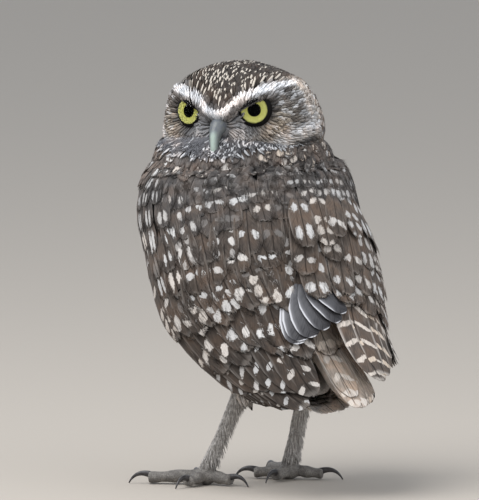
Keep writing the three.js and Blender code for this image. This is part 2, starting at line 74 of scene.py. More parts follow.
# Head: its middle, its three directions and the plain shape that the face is raised on
head = {
    "centre": np.array([1.5, -3.0, 186.5]),
    "turn": math.radians(125.5),
    "pitch": math.radians(4),
    "roll": math.radians(2.8),
    "crown": 24.7,
    "below": 46.0,
    "face": 30.0,
    "nape": 35.0,
    "halfWidth": 37.0,
    "cheekWidth": 3.5,
    "power": 2.1,
}
eye = {
    "forward": 24.8,
    "spread": 17.6,
    "level": 4.2,
    "outward": math.radians(20),
    "upward": math.radians(9),
    "iris": 6.7,
    "pupil": 3.2,
    "radius": 10.0,
    "irisRim": 6.9,
}


def headDirections():
    turn, pitch, roll = head["turn"], head["pitch"], head["roll"]
    level = np.array([math.sin(turn), -math.cos(turn), 0])
    up = np.array([0, 0, 1.0])
    left = np.cross(up, level)
    forward = level * math.cos(pitch) - up * math.sin(pitch)
    top = np.cross(forward, left)
    newLeft = left * math.cos(roll) + top * math.sin(roll)
    newTop = top * math.cos(roll) - left * math.sin(roll)
    return np.stack([forward, newLeft, newTop])


headAxes = headDirections()


def inHead(forward, left, top):
    local = np.stack(np.broadcast_arrays(forward, left, top), axis=-1).astype(float)
    return head["centre"] + local @ headAxes


def toHead(points):
    return (points - head["centre"]) @ headAxes.T


def eyeFrame(side):
    out, rise = eye["outward"], eye["upward"]
    local = np.array([math.cos(out) * math.cos(rise), side * math.sin(out) * math.cos(rise), math.sin(rise)])
    axis = local @ headAxes
    iris = inHead(eye["forward"], side * eye["spread"], eye["level"])
    depth = math.sqrt(eye["radius"] ** 2 - eye["irisRim"] ** 2)
    return {"axis": axis, "iris": iris, "centre": iris - axis * depth, "side": side}


eyes = {"left": eyeFrame(1), "right": eyeFrame(-1)}
eyeCorner = np.array(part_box("eye_left")[0]) * 1000
shift = eyeCorner + eye["radius"] - eyes["left"]["centre"]


def toWorld(points):
    return (np.asarray(points) + shift) * 0.001


browLine = {"inner": 2.0, "side": 34.0, "outer": 16.5}


# How far each form of the face stands out and how wide it is
faceForms = {"brow": (3, 3.4), "socket": (-2.6, 8), "bridge": (2.6, 5.5), "cheek": (1.8, 8), "rim": (1.5, 3)}


def browTop(left):
    return mix(browLine["inner"], browLine["outer"], np.minimum(1, np.abs(left) / browLine["side"]))


def faceRelief(left, top):
    side = np.abs(left)
    brow = ramp(side, 1, 8) * (1 - ramp(side, 26, 36))
    bridge = ramp(top, -16, -4) * (1 - ramp(top, 3, 12))
    rim = 1 - ramp(top, -2, 10)
    where = {
        "brow": (top - browTop(left), brow),
        "socket": (np.hypot(side - eye["spread"], top - eye["level"] + 2), 1),
        "bridge": (side, bridge),
        "cheek": (np.hypot(side - 16, (top + 11) * 1.2), 1),
        "rim": (np.hypot(left, (top + 3) * 1.15) - 32, rim),
    }
    return sum(high * bump(where[name][0], wide) * where[name][1] for name, (high, wide) in faceForms.items())


# Hollows and swellings of the head on its plain form: (way, mm, width in radians)
headSwells = [
    ((-0.39, 0.65, 0.64), -2.4, 0.45),
    ((0.33, -0.89, 0.33), 1.6, 0.22),
    ((0.42, -0.83, -0.37), 2.2, 0.35),
    ((-0.31, 0.87, -0.38), 1.6, 0.35),
]


def headSurface(direction, height=0.0):
    # direction: unit vectors in the head's own frame
    d = unit(direction)
    f, l, t = d[..., 0], d[..., 1], d[..., 2]
    depth = np.where(f > 0, head["face"], head["nape"])
    width = head["halfWidth"] + head["cheekWidth"] * ramp(-t, -0.25, 0.4)
    tall = np.where(t < 0, head["below"], head["crown"])
    p = head["power"]
    reach = (np.abs(f / depth) ** p + np.abs(l / width) ** p + np.abs(t / tall) ** p) ** (-1 / p)
    place = d * reach[..., None]
    place[..., 0] += ramp(f, 0.15, 0.6) * faceRelief(place[..., 1], place[..., 2])
    for way, swell, reach in headSwells:
        place = place + d * (swell * bump(np.arccos(np.clip(d @ unit(np.array(way)), -1, 1)), reach))[..., None]
    return place + d * np.asarray(height)[..., None]


def curvePoints(points, t):
    # a smooth curve through points, with knots spaced by the root of their distance
    points = np.asarray(points, float)
    last = len(points) - 1
    place = np.clip(np.asarray(t, float), 0, 1) * last
    i = np.minimum(place.astype(int), last - 1)
    w = (place - i)[..., None]
    padded = np.vstack([2 * points[0] - points[1], points, 2 * points[-1] - points[-2]])
    before, start, end, after = (padded[i + k] for k in range(4))

    def gap(a, b):
        return np.maximum(np.sum((a - b) ** 2, axis=-1) ** 0.25, 1e-4)[..., None]

    d0, d1, d2 = gap(before, start), gap(start, end), gap(end, after)
    m1 = ((start - before) / d0 - (end - before) / (d0 + d1) + (end - start) / d1) * d1
    m2 = ((end - start) / d1 - (after - start) / (d1 + d2) + (after - end) / d2) * d1
    square = -3 * start + 3 * end - 2 * m1 - m2
    cube = 2 * start - 2 * end + m1 + m2
    return start + m1 * w + square * w**2 + cube * w**3


# Body: y and z of the back's line, then half the width and the depths behind and in front, per station
bodyStations = [
    (-3, 172, 43, 36, 35),
    (-4, 157, 48.5, 39.5, 39),
    (-1, 141, 51, 41, 43),
    (5, 125, 52, 41, 47),
    (13, 109, 54, 40, 48),
    (22, 93, 53, 37, 45),
    (33, 79, 46, 31, 36),
    (45, 67, 34, 23, 23),
    (58, 58, 20, 14, 12),
    (71, 51, 14, 8, 8),
    (84, 45, 10, 5, 5),
    (97, 40, 8, 4, 4),
]
# Half width and depth behind of the shape that the folded wings lie on
capeStations = [
    (43.5, 36.5),
    (49, 40),
    (51.5, 41.5),
    (52.5, 41.5),
    (54.5, 40.5),
    (54, 38),
    (50, 34),
    (45, 30),
    (40, 25.5),
    (35, 20),
    (29, 14),
    (22, 8),
]
lastStation = len(bodyStations) - 1
tableSteps = np.linspace(0, 1, 900)
backTable = curvePoints([(0, y, z) for y, z, _, _, _ in bodyStations], tableSteps)
alongTable = unit(np.gradient(backTable, axis=0))
girthTable = curvePoints([s[2:] for s in bodyStations], tableSteps)
capeTable = curvePoints([(*c, s[4]) for c, s in zip(capeStations, bodyStations)], tableSteps)


def fromTable(table, t):
    return np.stack([np.interp(t, tableSteps, table[:, i]) for i in range(3)], axis=-1)


def onBody(station, around, height=0.0, cape=False):
    # places on the body, at a station, degrees round from the back to the bird's left, and a height
    station, around, height = np.broadcast_arrays(
        np.asarray(station, float), np.radians(np.asarray(around, float)), np.asarray(height, float)
    )
    t = station / lastStation
    centre = fromTable(backTable, t)
    along = fromTable(alongTable, t)
    size = fromTable(capeTable if cape else girthTable, t)
    dorsal = np.stack([np.zeros_like(t), -along[..., 2], along[..., 1]], axis=-1)
    sideways = np.array([1.0, 0, 0])
    sine, cosine = np.sin(around)[..., None], np.cos(around)[..., None]
    wide = size[..., 0:1]
    deep = np.where(cosine > 0, size[..., 1:2], size[..., 2:3])
    outward = unit(sideways * sine / wide + dorsal * cosine / deep)
    return centre + sideways * wide * sine + dorsal * deep * cosine + outward * height[..., None]


# Meshes from arrays


def makeObject(name, points, faces, smooth=True):
    # points in millimetres; faces: arrays of quads or triangles
    mesh = bpy.data.meshes.new(name)
    points = toWorld(points)
    mesh.vertices.add(len(points))
    mesh.vertices.foreach_set("co", points.astype(np.float32).ravel())
    faces = [np.asarray(f, np.int32) for f in faces if len(f)]
    corners = np.concatenate([f.ravel() for f in faces])
    sizes = np.concatenate([np.full(len(f), f.shape[1], np.int32) for f in faces])
    mesh.loops.add(len(corners))
    mesh.loops.foreach_set("vertex_index", corners)
    mesh.polygons.add(len(sizes))
    mesh.polygons.foreach_set("loop_start", np.concatenate([[0], np.cumsum(sizes)[:-1]]).astype(np.int32))
    mesh.update(calc_edges=True)
    mesh.polygons.foreach_set("use_smooth", np.full(len(sizes), smooth))
    made = bpy.data.objects.new(name, mesh)
    bpy.context.scene.collection.objects.link(made)
    return made


def setUv(made, name, perPoint):
    mesh = made.data
    corners = np.zeros(len(mesh.loops), np.int32)
    mesh.loops.foreach_get("vertex_index", corners)
    layer = mesh.uv_layers.new(name=name)
    layer.data.foreach_set("uv", perPoint[corners].astype(np.float32).ravel())


def setVector(made, name, perPoint):
    attribute = made.data.attributes.new(name, "FLOAT_VECTOR", "POINT")
    attribute.data.foreach_set("vector", perPoint.astype(np.float32).ravel())


def worldPoints(made):
    places = np.zeros(len(made.data.vertices) * 3, np.float32)
    made.data.vertices.foreach_get("co", places)
    return places.reshape(-1, 3) * 1000.0 - shift


def ringTube(rings, closed=True):
    # quads between rings of points (rows, around, 3), with a fan at both ends
    rows, count = rings.shape[:2]
    at = np.arange(rows * count).reshape(rows, count)
    following = np.roll(at, -1, axis=1)
    quads = np.stack([at[:-1], following[:-1], following[1:], at[1:]], axis=-1).reshape(-1, 4)
    points = rings.reshape(-1, 3)
    if not closed:
        return points, [quads]
    points = np.vstack([points, rings[0].mean(0), rings[-1].mean(0)])
    first, last = len(points) - 2, len(points) - 1
    start = np.stack([following[0], at[0], np.full(count, first)], axis=-1)
    end = np.stack([at[-1], following[-1], np.full(count, last)], axis=-1)
    return points, [quads, np.vstack([start, end])]


def tube(centres, wide, tall, up, sides=16, bulge=2.0):
    # a round body along centres; bulge above 2 makes its section squarer
    heading = unit(np.gradient(centres, axis=0))
    across = unit(np.cross(heading, up))
    lift = unit(np.cross(across, heading))
    turn = np.linspace(0, 2 * math.pi, sides, endpoint=False)
    c, s = np.cos(turn), np.sin(turn)
    power = 2 / bulge
    c, s = np.sign(c) * np.abs(c) ** power, np.sign(s) * np.abs(s) ** power
    rings = centres[:, None] + across[:, None] * (wide[:, None] * c)[..., None]
    rings = rings + lift[:, None] * (tall[:, None] * s)[..., None]
    return rings


def joinParts(parts):
    points, faces, start = [], [], 0
    for partPoints, partFaces in parts:
        points.append(partPoints)
        faces += [f + start for f in partFaces]
        start += len(partPoints)
    return np.vstack(points), faces


def applyModifiers(made):
    graph = bpy.context.evaluated_depsgraph_get()
    mesh = bpy.data.meshes.new_from_object(made.evaluated_get(graph))
    old = made.data
    made.modifiers.clear()
    made.data = mesh
    mesh.name = made.name
    bpy.data.meshes.remove(old)


def faceOutwards(made):
    shape = bmesh.new()
    shape.from_mesh(made.data)
    bmesh.ops.remove_doubles(shape, verts=shape.verts, dist=1e-6)
    bmesh.ops.recalc_face_normals(shape, faces=shape.faces)
    shape.to_mesh(made.data)
    shape.free()


# Shaders


def rgb(red, green, blue):
    # a screen colour, 0 to 255, as the renderer counts it
    share = np.array([red, green, blue]) / 255
    return np.where(share <= 0.04045, share / 12.92, ((share + 0.055) / 1.055) ** 2.4)


class Shader:
    # a material with short ways to add its nodes
    def __init__(self, name):
        self.material = bpy.data.materials.new(name)
        self.material.use_nodes = True
        self.tree = self.material.node_tree
        self.surface = self.tree.nodes["Principled BSDF"]

    def put(self, socket, value):
        if isinstance(value, bpy.types.NodeSocket):
            self.tree.links.new(value, socket)
        elif socket.type == "RGBA":
            socket.default_value = (*value, 1)
        else:
            socket.default_value = value

    def node(self, kind, inputs=None, **settings):
        made = self.tree.nodes.new(kind)
        for name, value in settings.items():
            setattr(made, name, value)
        for name, value in (inputs or {}).items():
            self.put(made.inputs[name], value)
        return made

    def op(self, operation, *values):
        return self.node("ShaderNodeMath", dict(enumerate(values)), operation=operation).outputs[0]

    def add(self, a, b):
        return self.op("ADD", a, b)

    def less(self, a, b):
        return self.op("SUBTRACT", a, b)

    def times(self, a, b):
        return self.op("MULTIPLY", a, b)

    def most(self, a, b):
        return self.op("MAXIMUM", a, b)

    def span(self, value, low, high, start=0.0, end=1.0):
        inputs = {"Value": value, "From Min": low, "From Max": high, "To Min": start, "To Max": end}
        return self.node("ShaderNodeMapRange", inputs, interpolation_type="SMOOTHSTEP").outputs[0]

    def blend(self, share, a, b, how="MIX"):
        made = self.node("ShaderNodeMix", data_type="RGBA", blend_type=how)
        self.put(made.inputs[0], share)
        self.put(made.inputs[6], a)
        self.put(made.inputs[7], b)
        return made.outputs[2]

    def dim(self, colour, amount):
        return self.blend(1.0, colour, self.vector(amount, amount, amount), "MULTIPLY")

    # colours laid over a first one, each (share, colour)
    def over(self, colour, *coats):
        for share, coat in coats:
            colour = self.blend(share, colour, coat)
        return colour

    # from a place to the shaded point: the vector, and how far it goes along a way
    def along(self, place, way, scale=1.0):
        inputs = {0: self.place(), 1: tuple(toWorld(place))}
        gap = self.node("ShaderNodeVectorMath", inputs, operation="SUBTRACT").outputs[0]
        inputs = {0: gap, 1: tuple(way * scale)}
        return gap, self.node("ShaderNodeVectorMath", inputs, operation="DOT_PRODUCT").outputs["Value"]

    def place(self, which="Object"):
        return self.node("ShaderNodeTexCoord").outputs[which]

    def uv(self, name):
        read = self.node("ShaderNodeUVMap", uv_map=name)
        split = self.node("ShaderNodeSeparateXYZ", {"Vector": read.outputs[0]})
        return split.outputs[0], split.outputs[1]

    def parts(self, name):
        read = self.node("ShaderNodeAttribute", attribute_name=name)
        split = self.node("ShaderNodeSeparateXYZ", {"Vector": read.outputs["Vector"]})
        return split.outputs

    def colour(self, name):
        return self.node("ShaderNodeAttribute", attribute_name=name).outputs["Color"]

    def noise(self, scale, detail=3.0, rough=0.5, vector=None):
        vector = self.place() if vector is None else vector
        inputs = {"Vector": vector, "Scale": scale, "Detail": detail, "Roughness": rough}
        return self.node("ShaderNodeTexNoise", inputs).outputs[0]

    def vector(self, x, y, z=0.0):
        return self.node("ShaderNodeCombineXYZ", {"X": x, "Y": y, "Z": z}).outputs[0]

    def finish(self, colour, rough=0.8, height=None, strength=0.4, distance=0.0003, **fixed):
        self.put(self.surface.inputs["Base Color"], colour)
        self.put(self.surface.inputs["Roughness"], rough)
        if height is not None:
            inputs = {"Height": height, "Strength": strength, "Distance": distance}
            self.put(self.surface.inputs["Normal"], self.node("ShaderNodeBump", inputs).outputs[0])
        for name, value in fixed.items():
            self.put(self.surface.inputs[name.replace("_", " ")], value)
        return self.material


# Colours of the plumage, 0 to 255
ink = {
    "mantle": (87, 84, 83),
    "brown": (82, 74, 68),
    "dark": (52, 46, 42),
    "shade": (26, 22, 20),
    "white": (212, 211, 210),
    "cream": (224, 202, 178),
    "warm": (112, 92, 78),
    "down": (214, 208, 202),
    "tail": (148, 137, 127),
    "legDown": (182, 178, 174),
    "belly": (205, 194, 180),
    "barBrown": (104, 84, 66),
    "wisp": (138, 131, 125),
    "crown": (74, 67, 62),
    "streak": (226, 216, 202),
    "faceGrey": (118, 117, 118),
    "smooth": (112, 113, 118),
    "faceDark": (58, 56, 56),
    "brow": (243, 245, 249),
    "cheek": (178, 167, 152),
    "nape": (206, 201, 195),
}
ink = {name: rgb(*value) for name, value in ink.items()}


def layer(below, above, share):
    return mix(below, above, np.clip(share, 0, 1)[..., None])


def aroundSide(around):
    return np.abs((np.asarray(around) + 180) % 360 - 180)


# Colours from the table laid over a ground, each (name, how much of it)
def paint(ground, *coats):
    for name, share in coats:
        ground = layer(ground, ink[name], share)
    return ground


# The ground colour of the plumage round the body, the same on skin and feathers
def bodyColour(station, around):
    side = aroundSide(around)
    return paint(
        ink["mantle"],
        ("brown", ramp(station, 1.2, 3.4)),
        ("dark", 0.4 * ramp(station, 5.5, 9)),
        ("brown", 0.8 * ramp(side, 118, 140) * (1 - ramp(station, 2.2, 4))),
        ("belly", ramp(side, 112, 134) * ramp(station, 1.9, 3.4)),
        ("down", ramp(side, 140, 165) * ramp(station, 3.5, 6)),
    )


# The body under the wings and the tail: pale down
def ventColour(station, around):
    hidden = ramp(station, 4.4, 5.4) * ramp(aroundSide(around), 60, 80)
    return paint(bodyColour(station, around), ("down", hidden))


# Where the white brow runs: its height over the head's middle and half its width, against the side
browRun = {"side": [0, 3, 8, 13, 17.6, 22, 27, 33, 38], "top": [0.0, 1.1, 4.4, 7.9, 10.4, 12.6, 13.6, 13.6, 13]}
browWide = {"side": [0, 4, 12, 20, 28, 36], "half": [1.2, 1.3, 1.7, 2.0, 1.3, 0.4]}


def headMasks(f, l, t):
    side = np.abs(l)
    front = ramp(f, 2, 12)
    browTopAt = np.interp(side, browRun["side"], browRun["top"])
    brow = bump((t - browTopAt) ** 2, np.interp(side, browWide["side"], browWide["half"]) ** 2) * ramp(f, -2, 8)
    aboveBrow = ramp(t - browTopAt, 1.4, 3.2)
    eyeNear = np.hypot(side - eye["spread"], t - eye["level"])
    return {
        "front": front,
        "brow": brow,
        "crown": np.clip(aboveBrow + ramp(-f, -6, 6) * ramp(t, 8, 18), 0, 1),
        "ring": bump(eyeNear - 7.4, 1.2) * front,
        "lores": bump(np.hypot(side - 9, (t + 6.0) * 0.8), 5.0) * front,
        "smooth": bump(np.hypot((l + 15) * 0.8, t + 11), 7) * front,
        "bib": bump(t + 19 - 0.22 * side, 2.6) * front,
        "cheek": bump(np.hypot(side - 26, t + 3), 9) * ramp(f, 4, 14),
        "band": bump(t + 11.5 - 0.4 * (side - 28), 2.6) * ramp(side, 21, 27) * ramp(f, -6, 4),
        "mottle": np.sin(l * 0.75 + 1.4 * np.sin(t * 0.6)) * np.sin(t * 0.95 + 1.1 * np.sin(f * 0.5)),
        "shade": bump(t + 17 - 0.3 * (side - 28), 2.4) * ramp(side, 16, 26) * ramp(f, -8, 2),
    }


def headColour(local):
    f, l, t = local[..., 0], local[..., 1], local[..., 2]
    m = headMasks(f, l, t)
    outer = ramp(np.abs(l), 19, 27) * (1 - m["crown"])
    return paint(
        ink["nape"],
        ("faceGrey", m["front"]),
        ("crown", m["crown"]),
        ("cheek", 0.9 * m["cheek"]),
        ("brown", 0.65 * outer * ramp(m["mottle"], 0.15, 0.45)),
        ("brow", 0.42 * outer * ramp(-m["mottle"], 0.2, 0.5)),
        ("faceDark", 0.9 * m["ring"]),
        ("brow", 0.35 * m["lores"]),
        ("smooth", 0.9 * m["smooth"]),
        ("brow", 0.95 * m["band"]),
        ("down", 0.8 * m["bib"]),
        ("shade", 0.9 * m["shade"]),
        ("brow", 1.15 * m["brow"]),
    )


# Feathers: thin closed vanes on rows of points that follow the body

bakePatch = 0.003


# A root's place on the unwrap of the body: round it across, down it upwards
def bodyUnwrap(station, around):
    turn = ((np.asarray(around, float) + 180) % 360) / 360
    return np.stack([0.02 + 0.56 * turn, 0.02 + 0.96 * np.clip(np.asarray(station, float) / 11, 0, 1)], axis=-1)


def headUnwrap(direction):
    d = unit(direction)
    polar = np.arccos(np.clip(d[..., 0], -1, 1)) / math.pi
    turn = np.arctan2(d[..., 1], d[..., 2])
    middle, reach = np.array([0.79, 0.75]), 0.19
    return middle + reach * polar[..., None] * np.stack([np.sin(turn), np.cos(turn)], axis=-1)


# Many feathers gathered into one mesh
class Coat:
    def __init__(self):
        self.points, self.quads, self.triangles, self.uv, self.bake, self.marks = [], [], [], [], [], []
        self.count = 0

    # front holds points (n, rows, columns, 3). The back shares its rim, so each vane is a thin closed lens.
    def addGrid(self, front, lift, uv, bake, marks, thickness):
        n, rows, columns = front.shape[:3]
        grid = np.arange(rows * columns).reshape(rows, columns)
        behind = grid.copy()
        inner = (rows - 2) * (columns - 2)
        behind[1:-1, 1:-1] = rows * columns + np.arange(inner).reshape(rows - 2, columns - 2)
        a, b, c, d = grid[:-1, :-1], grid[1:, :-1], grid[1:, 1:], grid[:-1, 1:]
        faces = np.stack([a, b, c, d], axis=-1).reshape(-1, 4)
        a, b, c, d = behind[:-1, :-1], behind[1:, :-1], behind[1:, 1:], behind[:-1, 1:]
        faces = np.vstack([faces, np.stack([d, c, b, a], axis=-1).reshape(-1, 4)])
        per = rows * columns + inner
        back = (front - lift * thickness)[:, 1:-1, 1:-1]
        points = np.concatenate([front.reshape(n, -1, 3), back.reshape(n, -1, 3)], axis=1)
        allUv = np.concatenate([uv.reshape(n, -1, 2), uv[:, 1:-1, 1:-1].reshape(n, -1, 2)], axis=1)
        starts = self.count + per * np.arange(n)
        self.points.append(points.reshape(-1, 3))
        self.quads.append((faces[None] + starts[:, None, None]).reshape(-1, 4))
        self.uv.append(allUv.reshape(-1, 2))
        self.bake.append((bake[:, None] + bakePatch * (allUv - 0.5)).reshape(-1, 2))
        self.marks.append({name: np.repeat(value, per, axis=0) for name, value in marks.items()})
        self.count += n * per

    def build(self, name, material):
        kinds = [np.vstack(faces) for faces in (self.quads, self.triangles) if faces]
        made = makeObject(name, np.vstack(self.points), kinds)
        setUv(made, "Vane", np.vstack(self.uv))
        setUv(made, "OFBake", np.vstack(self.bake))
        for mark in self.marks[0]:
            setVector(made, mark, np.vstack([m[mark] for m in self.marks]))
        made.data.materials.append(material)
        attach(made, "root")
        print(name, "has", sum(len(f) * (f.shape[1] - 2) for f in kinds), "triangles")
        return made


# Row positions along a vane and half its width there, for the kinds of feather
vaneForms = {
    "body": {
        "along": [0, 0.3, 0.55, 0.75, 0.88, 0.95, 0.985, 1],
        "half": [0.5, 0.9, 1, 0.97, 0.82, 0.6, 0.4, 0.2],
        "columns": [-1, -0.94, -0.5, 0, 0.5, 0.94, 1],
    },
    "small": {"along": [0, 0.4, 0.7, 0.9, 1], "half": [0.55, 1, 0.95, 0.6, 0.08], "columns": [-1, 0, 1]},
    "long": {
        "along": [0, 0.2, 0.4, 0.6, 0.75, 0.86, 0.93, 0.975, 0.992, 1],
        "half": [0.55, 0.85, 0.98, 1, 0.96, 0.86, 0.68, 0.44, 0.26, 0.1],
        "columns": [-1, -0.95, -0.55, -0.18, 0.18, 0.55, 0.95, 1],
    },
}


# path(share) and outward(share) give each feather's middle line and the way out, (n, 3); barbs: how many it has
def addVanes(
    coat, path, outward, width, marks, bake, form="body", thickness=0.1, camber=0.008, roll=0.0, fray=0.03, barbs=0
):
    kind = vaneForms[form]
    along, half = np.array(kind["along"]), np.array(kind["half"])
    across = np.array(kind["columns"])
    middle = np.stack([path(s) for s in along], axis=1)
    out = np.stack([outward(s) for s in along], axis=1)
    heading = unit(np.gradient(middle, axis=1))
    sideways = unit(np.cross(out, heading))
    lift = unit(np.cross(heading, sideways))
    n = len(middle)
    wide = np.broadcast_to(np.asarray(width, float), (n,))
    roll = np.broadcast_to(np.asarray(roll, float), (n,))
    u = across[None, :] * half[:, None]
    reach = wide[:, None, None] / 2 * u[None]
    tall = roll[:, None, None] * u[None] - camber * reach**2
    length = np.linalg.norm(middle[:, -1] - middle[:, 0], axis=-1)
    ragged = rng.normal(0, fray, (n, len(along), len(across))) * (along > 0.7)[None, :, None]
    forward = ragged * length[:, None, None]
    grid = middle[:, :, None] + sideways[:, :, None] * reach[..., None]
    grid = grid + lift[:, :, None] * tall[..., None] + heading[:, :, None] * forward[..., None]
    uv = np.stack(np.broadcast_arrays(0.5 + 0.5 * u[None], along[None, :, None]), axis=-1)
    uv = np.broadcast_to(uv, (n, len(along), len(across), 2))
    coat.addGrid(grid, np.broadcast_to(lift[:, :, None], grid.shape), uv, bake, marks, thickness)
    if barbs:
        addBarbs(coat, path, outward, width, marks, bake, barbs, form)


# Loose barbs: slender pyramids along the far edge of each feather, which blur it into the next one.
# They grow between two shares of the feather's length; buried is how far back a barb starts.
barbShape = {
    "from": 0.62, "to": 0.99, "length": 3.0, "thick": 0.18, "buried": 1.2, "sampled": 0.55, "samples": 10,
}


def addBarbs(coat, path, outward, width, marks, bake, perFeather, form):
    n = len(bake)
    kind = vaneForms[form]
    thick = barbShape["thick"]
    share = rng.uniform(barbShape["from"], barbShape["to"], (n, perFeather))
    half = np.interp(share, kind["along"], kind["half"])
    u = np.where(rng.random((n, perFeather)) < 0.5, -1, 1) * half * rng.uniform(0.55, 1.0, (n, perFeather))
    rows = np.linspace(barbShape["sampled"], 1.0, barbShape["samples"])
    middle = np.stack([path(r) for r in rows], axis=1)
    out = np.stack([outward(r) for r in rows], axis=1)
    heading = unit(np.gradient(middle, axis=1))
    across = unit(np.cross(out, heading))
    steps = barbShape["samples"] - 1
    where = np.clip((share - barbShape["sampled"]) / (1 - barbShape["sampled"]) * steps, 0, steps - 0.001)
    low = where.astype(int)
    part = (where - low)[..., None]
    pick = np.arange(n)[:, None]

    def along(values):
        return mix(values[pick, low], values[pick, low + 1], part)

    ahead, side, up = along(heading), along(across), along(out)
    wide = np.broadcast_to(np.asarray(width, float), (n,))[:, None, None] / 2
    base = along(middle) + side * wide * u[..., None] + up * rng.uniform(0.0, 0.1, (n, perFeather, 1))
    reach = barbShape["length"] * rng.uniform(0.5, 1.3, (n, perFeather, 1))
    way = unit(ahead + side * np.sign(u)[..., None] * rng.uniform(0.0, 0.55, (n, perFeather, 1)))
    tip = base + way * reach + up * rng.uniform(-0.12, 0.1, (n, perFeather, 1)) * reach
    back = base - way * barbShape["buried"]
    spread = unit(np.cross(up, way)) * thick / 2
    corners = [back - spread, back + spread, back + up * thick * 0.4, tip]
    points = np.stack(corners, axis=2).reshape(-1, 3)
    count = n * perFeather
    faces = np.array([[0, 2, 3], [2, 1, 3], [1, 0, 3], [0, 1, 2]])
    triangles = (faces[None] + 4 * np.arange(count)[:, None, None]).reshape(-1, 3) + coat.count
    uv = np.stack([0.5 + 0.5 * u, share], axis=-1).reshape(-1, 1, 2)
    uv = np.repeat(uv, 4, axis=1).reshape(-1, 2)
    coat.points.append(points)
    coat.triangles.append(triangles)
    coat.uv.append(uv)
    coat.bake.append(np.repeat(bake, 4 * perFeather, axis=0) + bakePatch * (uv - 0.5))
    coat.marks.append({name: np.repeat(value, 4 * perFeather, axis=0) for name, value in marks.items()})
    coat.count += 4 * count


def vectors(n, *parts):
    return np.stack([np.broadcast_to(np.asarray(p, float), (n,)) for p in parts], axis=-1)


# What the feather material reads: where its spots lie and their size, its shade, and rows of bars or spots
def featherMarks(n, ground, **asked):
    look = {
        "side": 0.45,
        "along": 0.8,
        "amount": 0.0,
        "wide": 0.2,
        "long": 0.09,
        "warm": 0.2,
        "value": 1.0,
        # edge: how pale the margins are, partly their own edging and partly painted light over the shade between
        # feathers
        "edge": 0.0,
        "streak": 0.0,
        "rows": 0.0,
        "gap": 0.2,
    }
    look.update(asked)
    return {
        "ground": np.broadcast_to(ground, (n, 3)).copy(),
        "spot": vectors(n, look["side"], look["along"], look["amount"]),
        "spotSize": vectors(n, look["wide"], look["long"], look["warm"]),
        "shade": vectors(n, look["value"], look["edge"], look["streak"]),
        "bars": vectors(n, look["rows"], look["gap"], rng.random(n)),
    }


mmPerStation = 17.0
bodyRadius = 45.0


# Feathers that start at (station, around) and run length mm down the body, their tips lifted by rise
def bodyVanes(coat, station, around, length, width, surface, marks, lean=0.0, sink=0.5, rise=0.4, **form):
    span = length / mmPerStation
    turn = np.degrees(lean / bodyRadius)

    def path(share):
        return surface(station + span * share, around + turn * share, -sink + (sink + rise) * share)

    def outward(share):
        s, a = station + span * share, around + turn * share
        return unit(surface(s, a, 4 + 0 * s) - surface(s, a, 0 * s))

    addVanes(coat, path, outward, width, marks, bodyUnwrap(station, around), **form)


def plumageMaterial(name):
    s = Shader(name)
    x, along = s.uv("Vane")
    u = s.times(s.less(x, 0.5), 2.0)
    aside = s.op("ABSOLUTE", u)
    spot, spotSize, shade, bars = (s.parts(k) for k in ("spot", "spotSize", "shade", "bars"))
    ragged = s.less(s.noise(1300, 2), 0.5)
    uneven = s.less(s.noise(260, 2), 0.5)
    cross = s.less(along, s.times(aside, 0.42))
    barbs = s.noise(1.0, 3, 0.6, s.vector(s.times(u, 2.2), s.times(cross, 34), s.times(bars[2], 40)))
    comb = s.less(barbs, 0.5)

    def oval(across, down):
        far = s.op("SQRT", s.add(s.times(across, across), s.times(down, down)))
        rough = s.add(s.times(ragged, 0.7), s.add(s.times(uneven, 1.3), s.times(comb, 1.1)))
        return s.span(s.add(far, rough), 0.82, 1.08, 1.0, 0.0)

    level = s.less(along, s.times(aside, 0.08))
    across = s.op("DIVIDE", s.less(aside, spot[0]), spotSize[0])
    spots = s.times(oval(across, s.op("DIVIDE", s.less(level, spot[1]), spotSize[1])), spot[2])
    cell = s.less(s.op("FRACT", s.add(s.op("DIVIDE", level, bars[1]), bars[2])), 0.5)
    inCell = s.op("DIVIDE", s.times(cell, bars[1]), spotSize[1])
    inRows = s.times(oval(across, inCell), s.op("ABSOLUTE", bars[0]))
    soft = s.noise(95, 3, 0.6)
    ground = s.colour("ground")
    warmer = s.blend(1.0, ground, rgb(250, 226, 206), "MULTIPLY")
    ground = s.blend(s.span(soft, 0.4, 0.7, 0.0, 0.6), ground, warmer)
    lit = s.times(shade[0], s.add(s.times(comb, 1.6), s.span(soft, 0.3, 0.72, 0.72, 1.32)))
    colour = s.dim(ground, lit)
    # Pale margins at the sides and tips: partly the feathers' own pale edging, partly painted light that lifts the
    # shade where one feather lies over the next.
    margin = s.times(s.most(s.span(aside, 0.8, 0.97), s.span(along, 0.94, 0.985)), shade[1])
    colour = s.blend(margin, colour, rgb(206, 198, 190))
    streak = s.times(s.times(s.span(aside, 0.16, 0.36, 1.0, 0.0), s.span(along, 0.2, 0.4)), shade[2])
    colour = s.blend(streak, colour, ink["streak"])
    pale = s.blend(spotSize[2], ink["white"], ink["cream"])
    hair = s.span(barbs, 0.25, 0.6, 0.7, 1.02)
    pale = s.dim(pale, hair)
    colour = s.blend(s.times(inRows, s.op("LESS_THAN", bars[0], 0.0)), colour, ink["barBrown"])
    colour = s.blend(s.times(inRows, s.op("GREATER_THAN", bars[0], 0.0)), colour, pale)
    colour = s.blend(spots, colour, pale)
    drawn = s.vector(s.times(u, 7), s.add(s.times(along, 3.5), s.times(u, 1.2)), s.times(bars[2], 90))
    wisps = s.noise(1.0, 2, 0.5, drawn)
    colour = s.blend(s.span(wisps, 0.56, 0.7, 0.0, 0.5), colour, ink["dark"])
    colour = s.blend(s.span(wisps, 0.4, 0.28, 0.0, 0.35), colour, ink["wisp"])
    shaft = s.times(s.span(aside, 0.02, 0.06, 0.75, 0.0), s.span(along, 0.93, 1.0, 1.0, 0.0))
    colour = s.blend(shaft, colour, ink["shade"])
    return s.finish(
        colour, 0.85, barbs, 0.4, 0.0002, Specular_IOR_Level=0.12, Sheen_Weight=0.06, Sheen_Roughness=0.5
    )


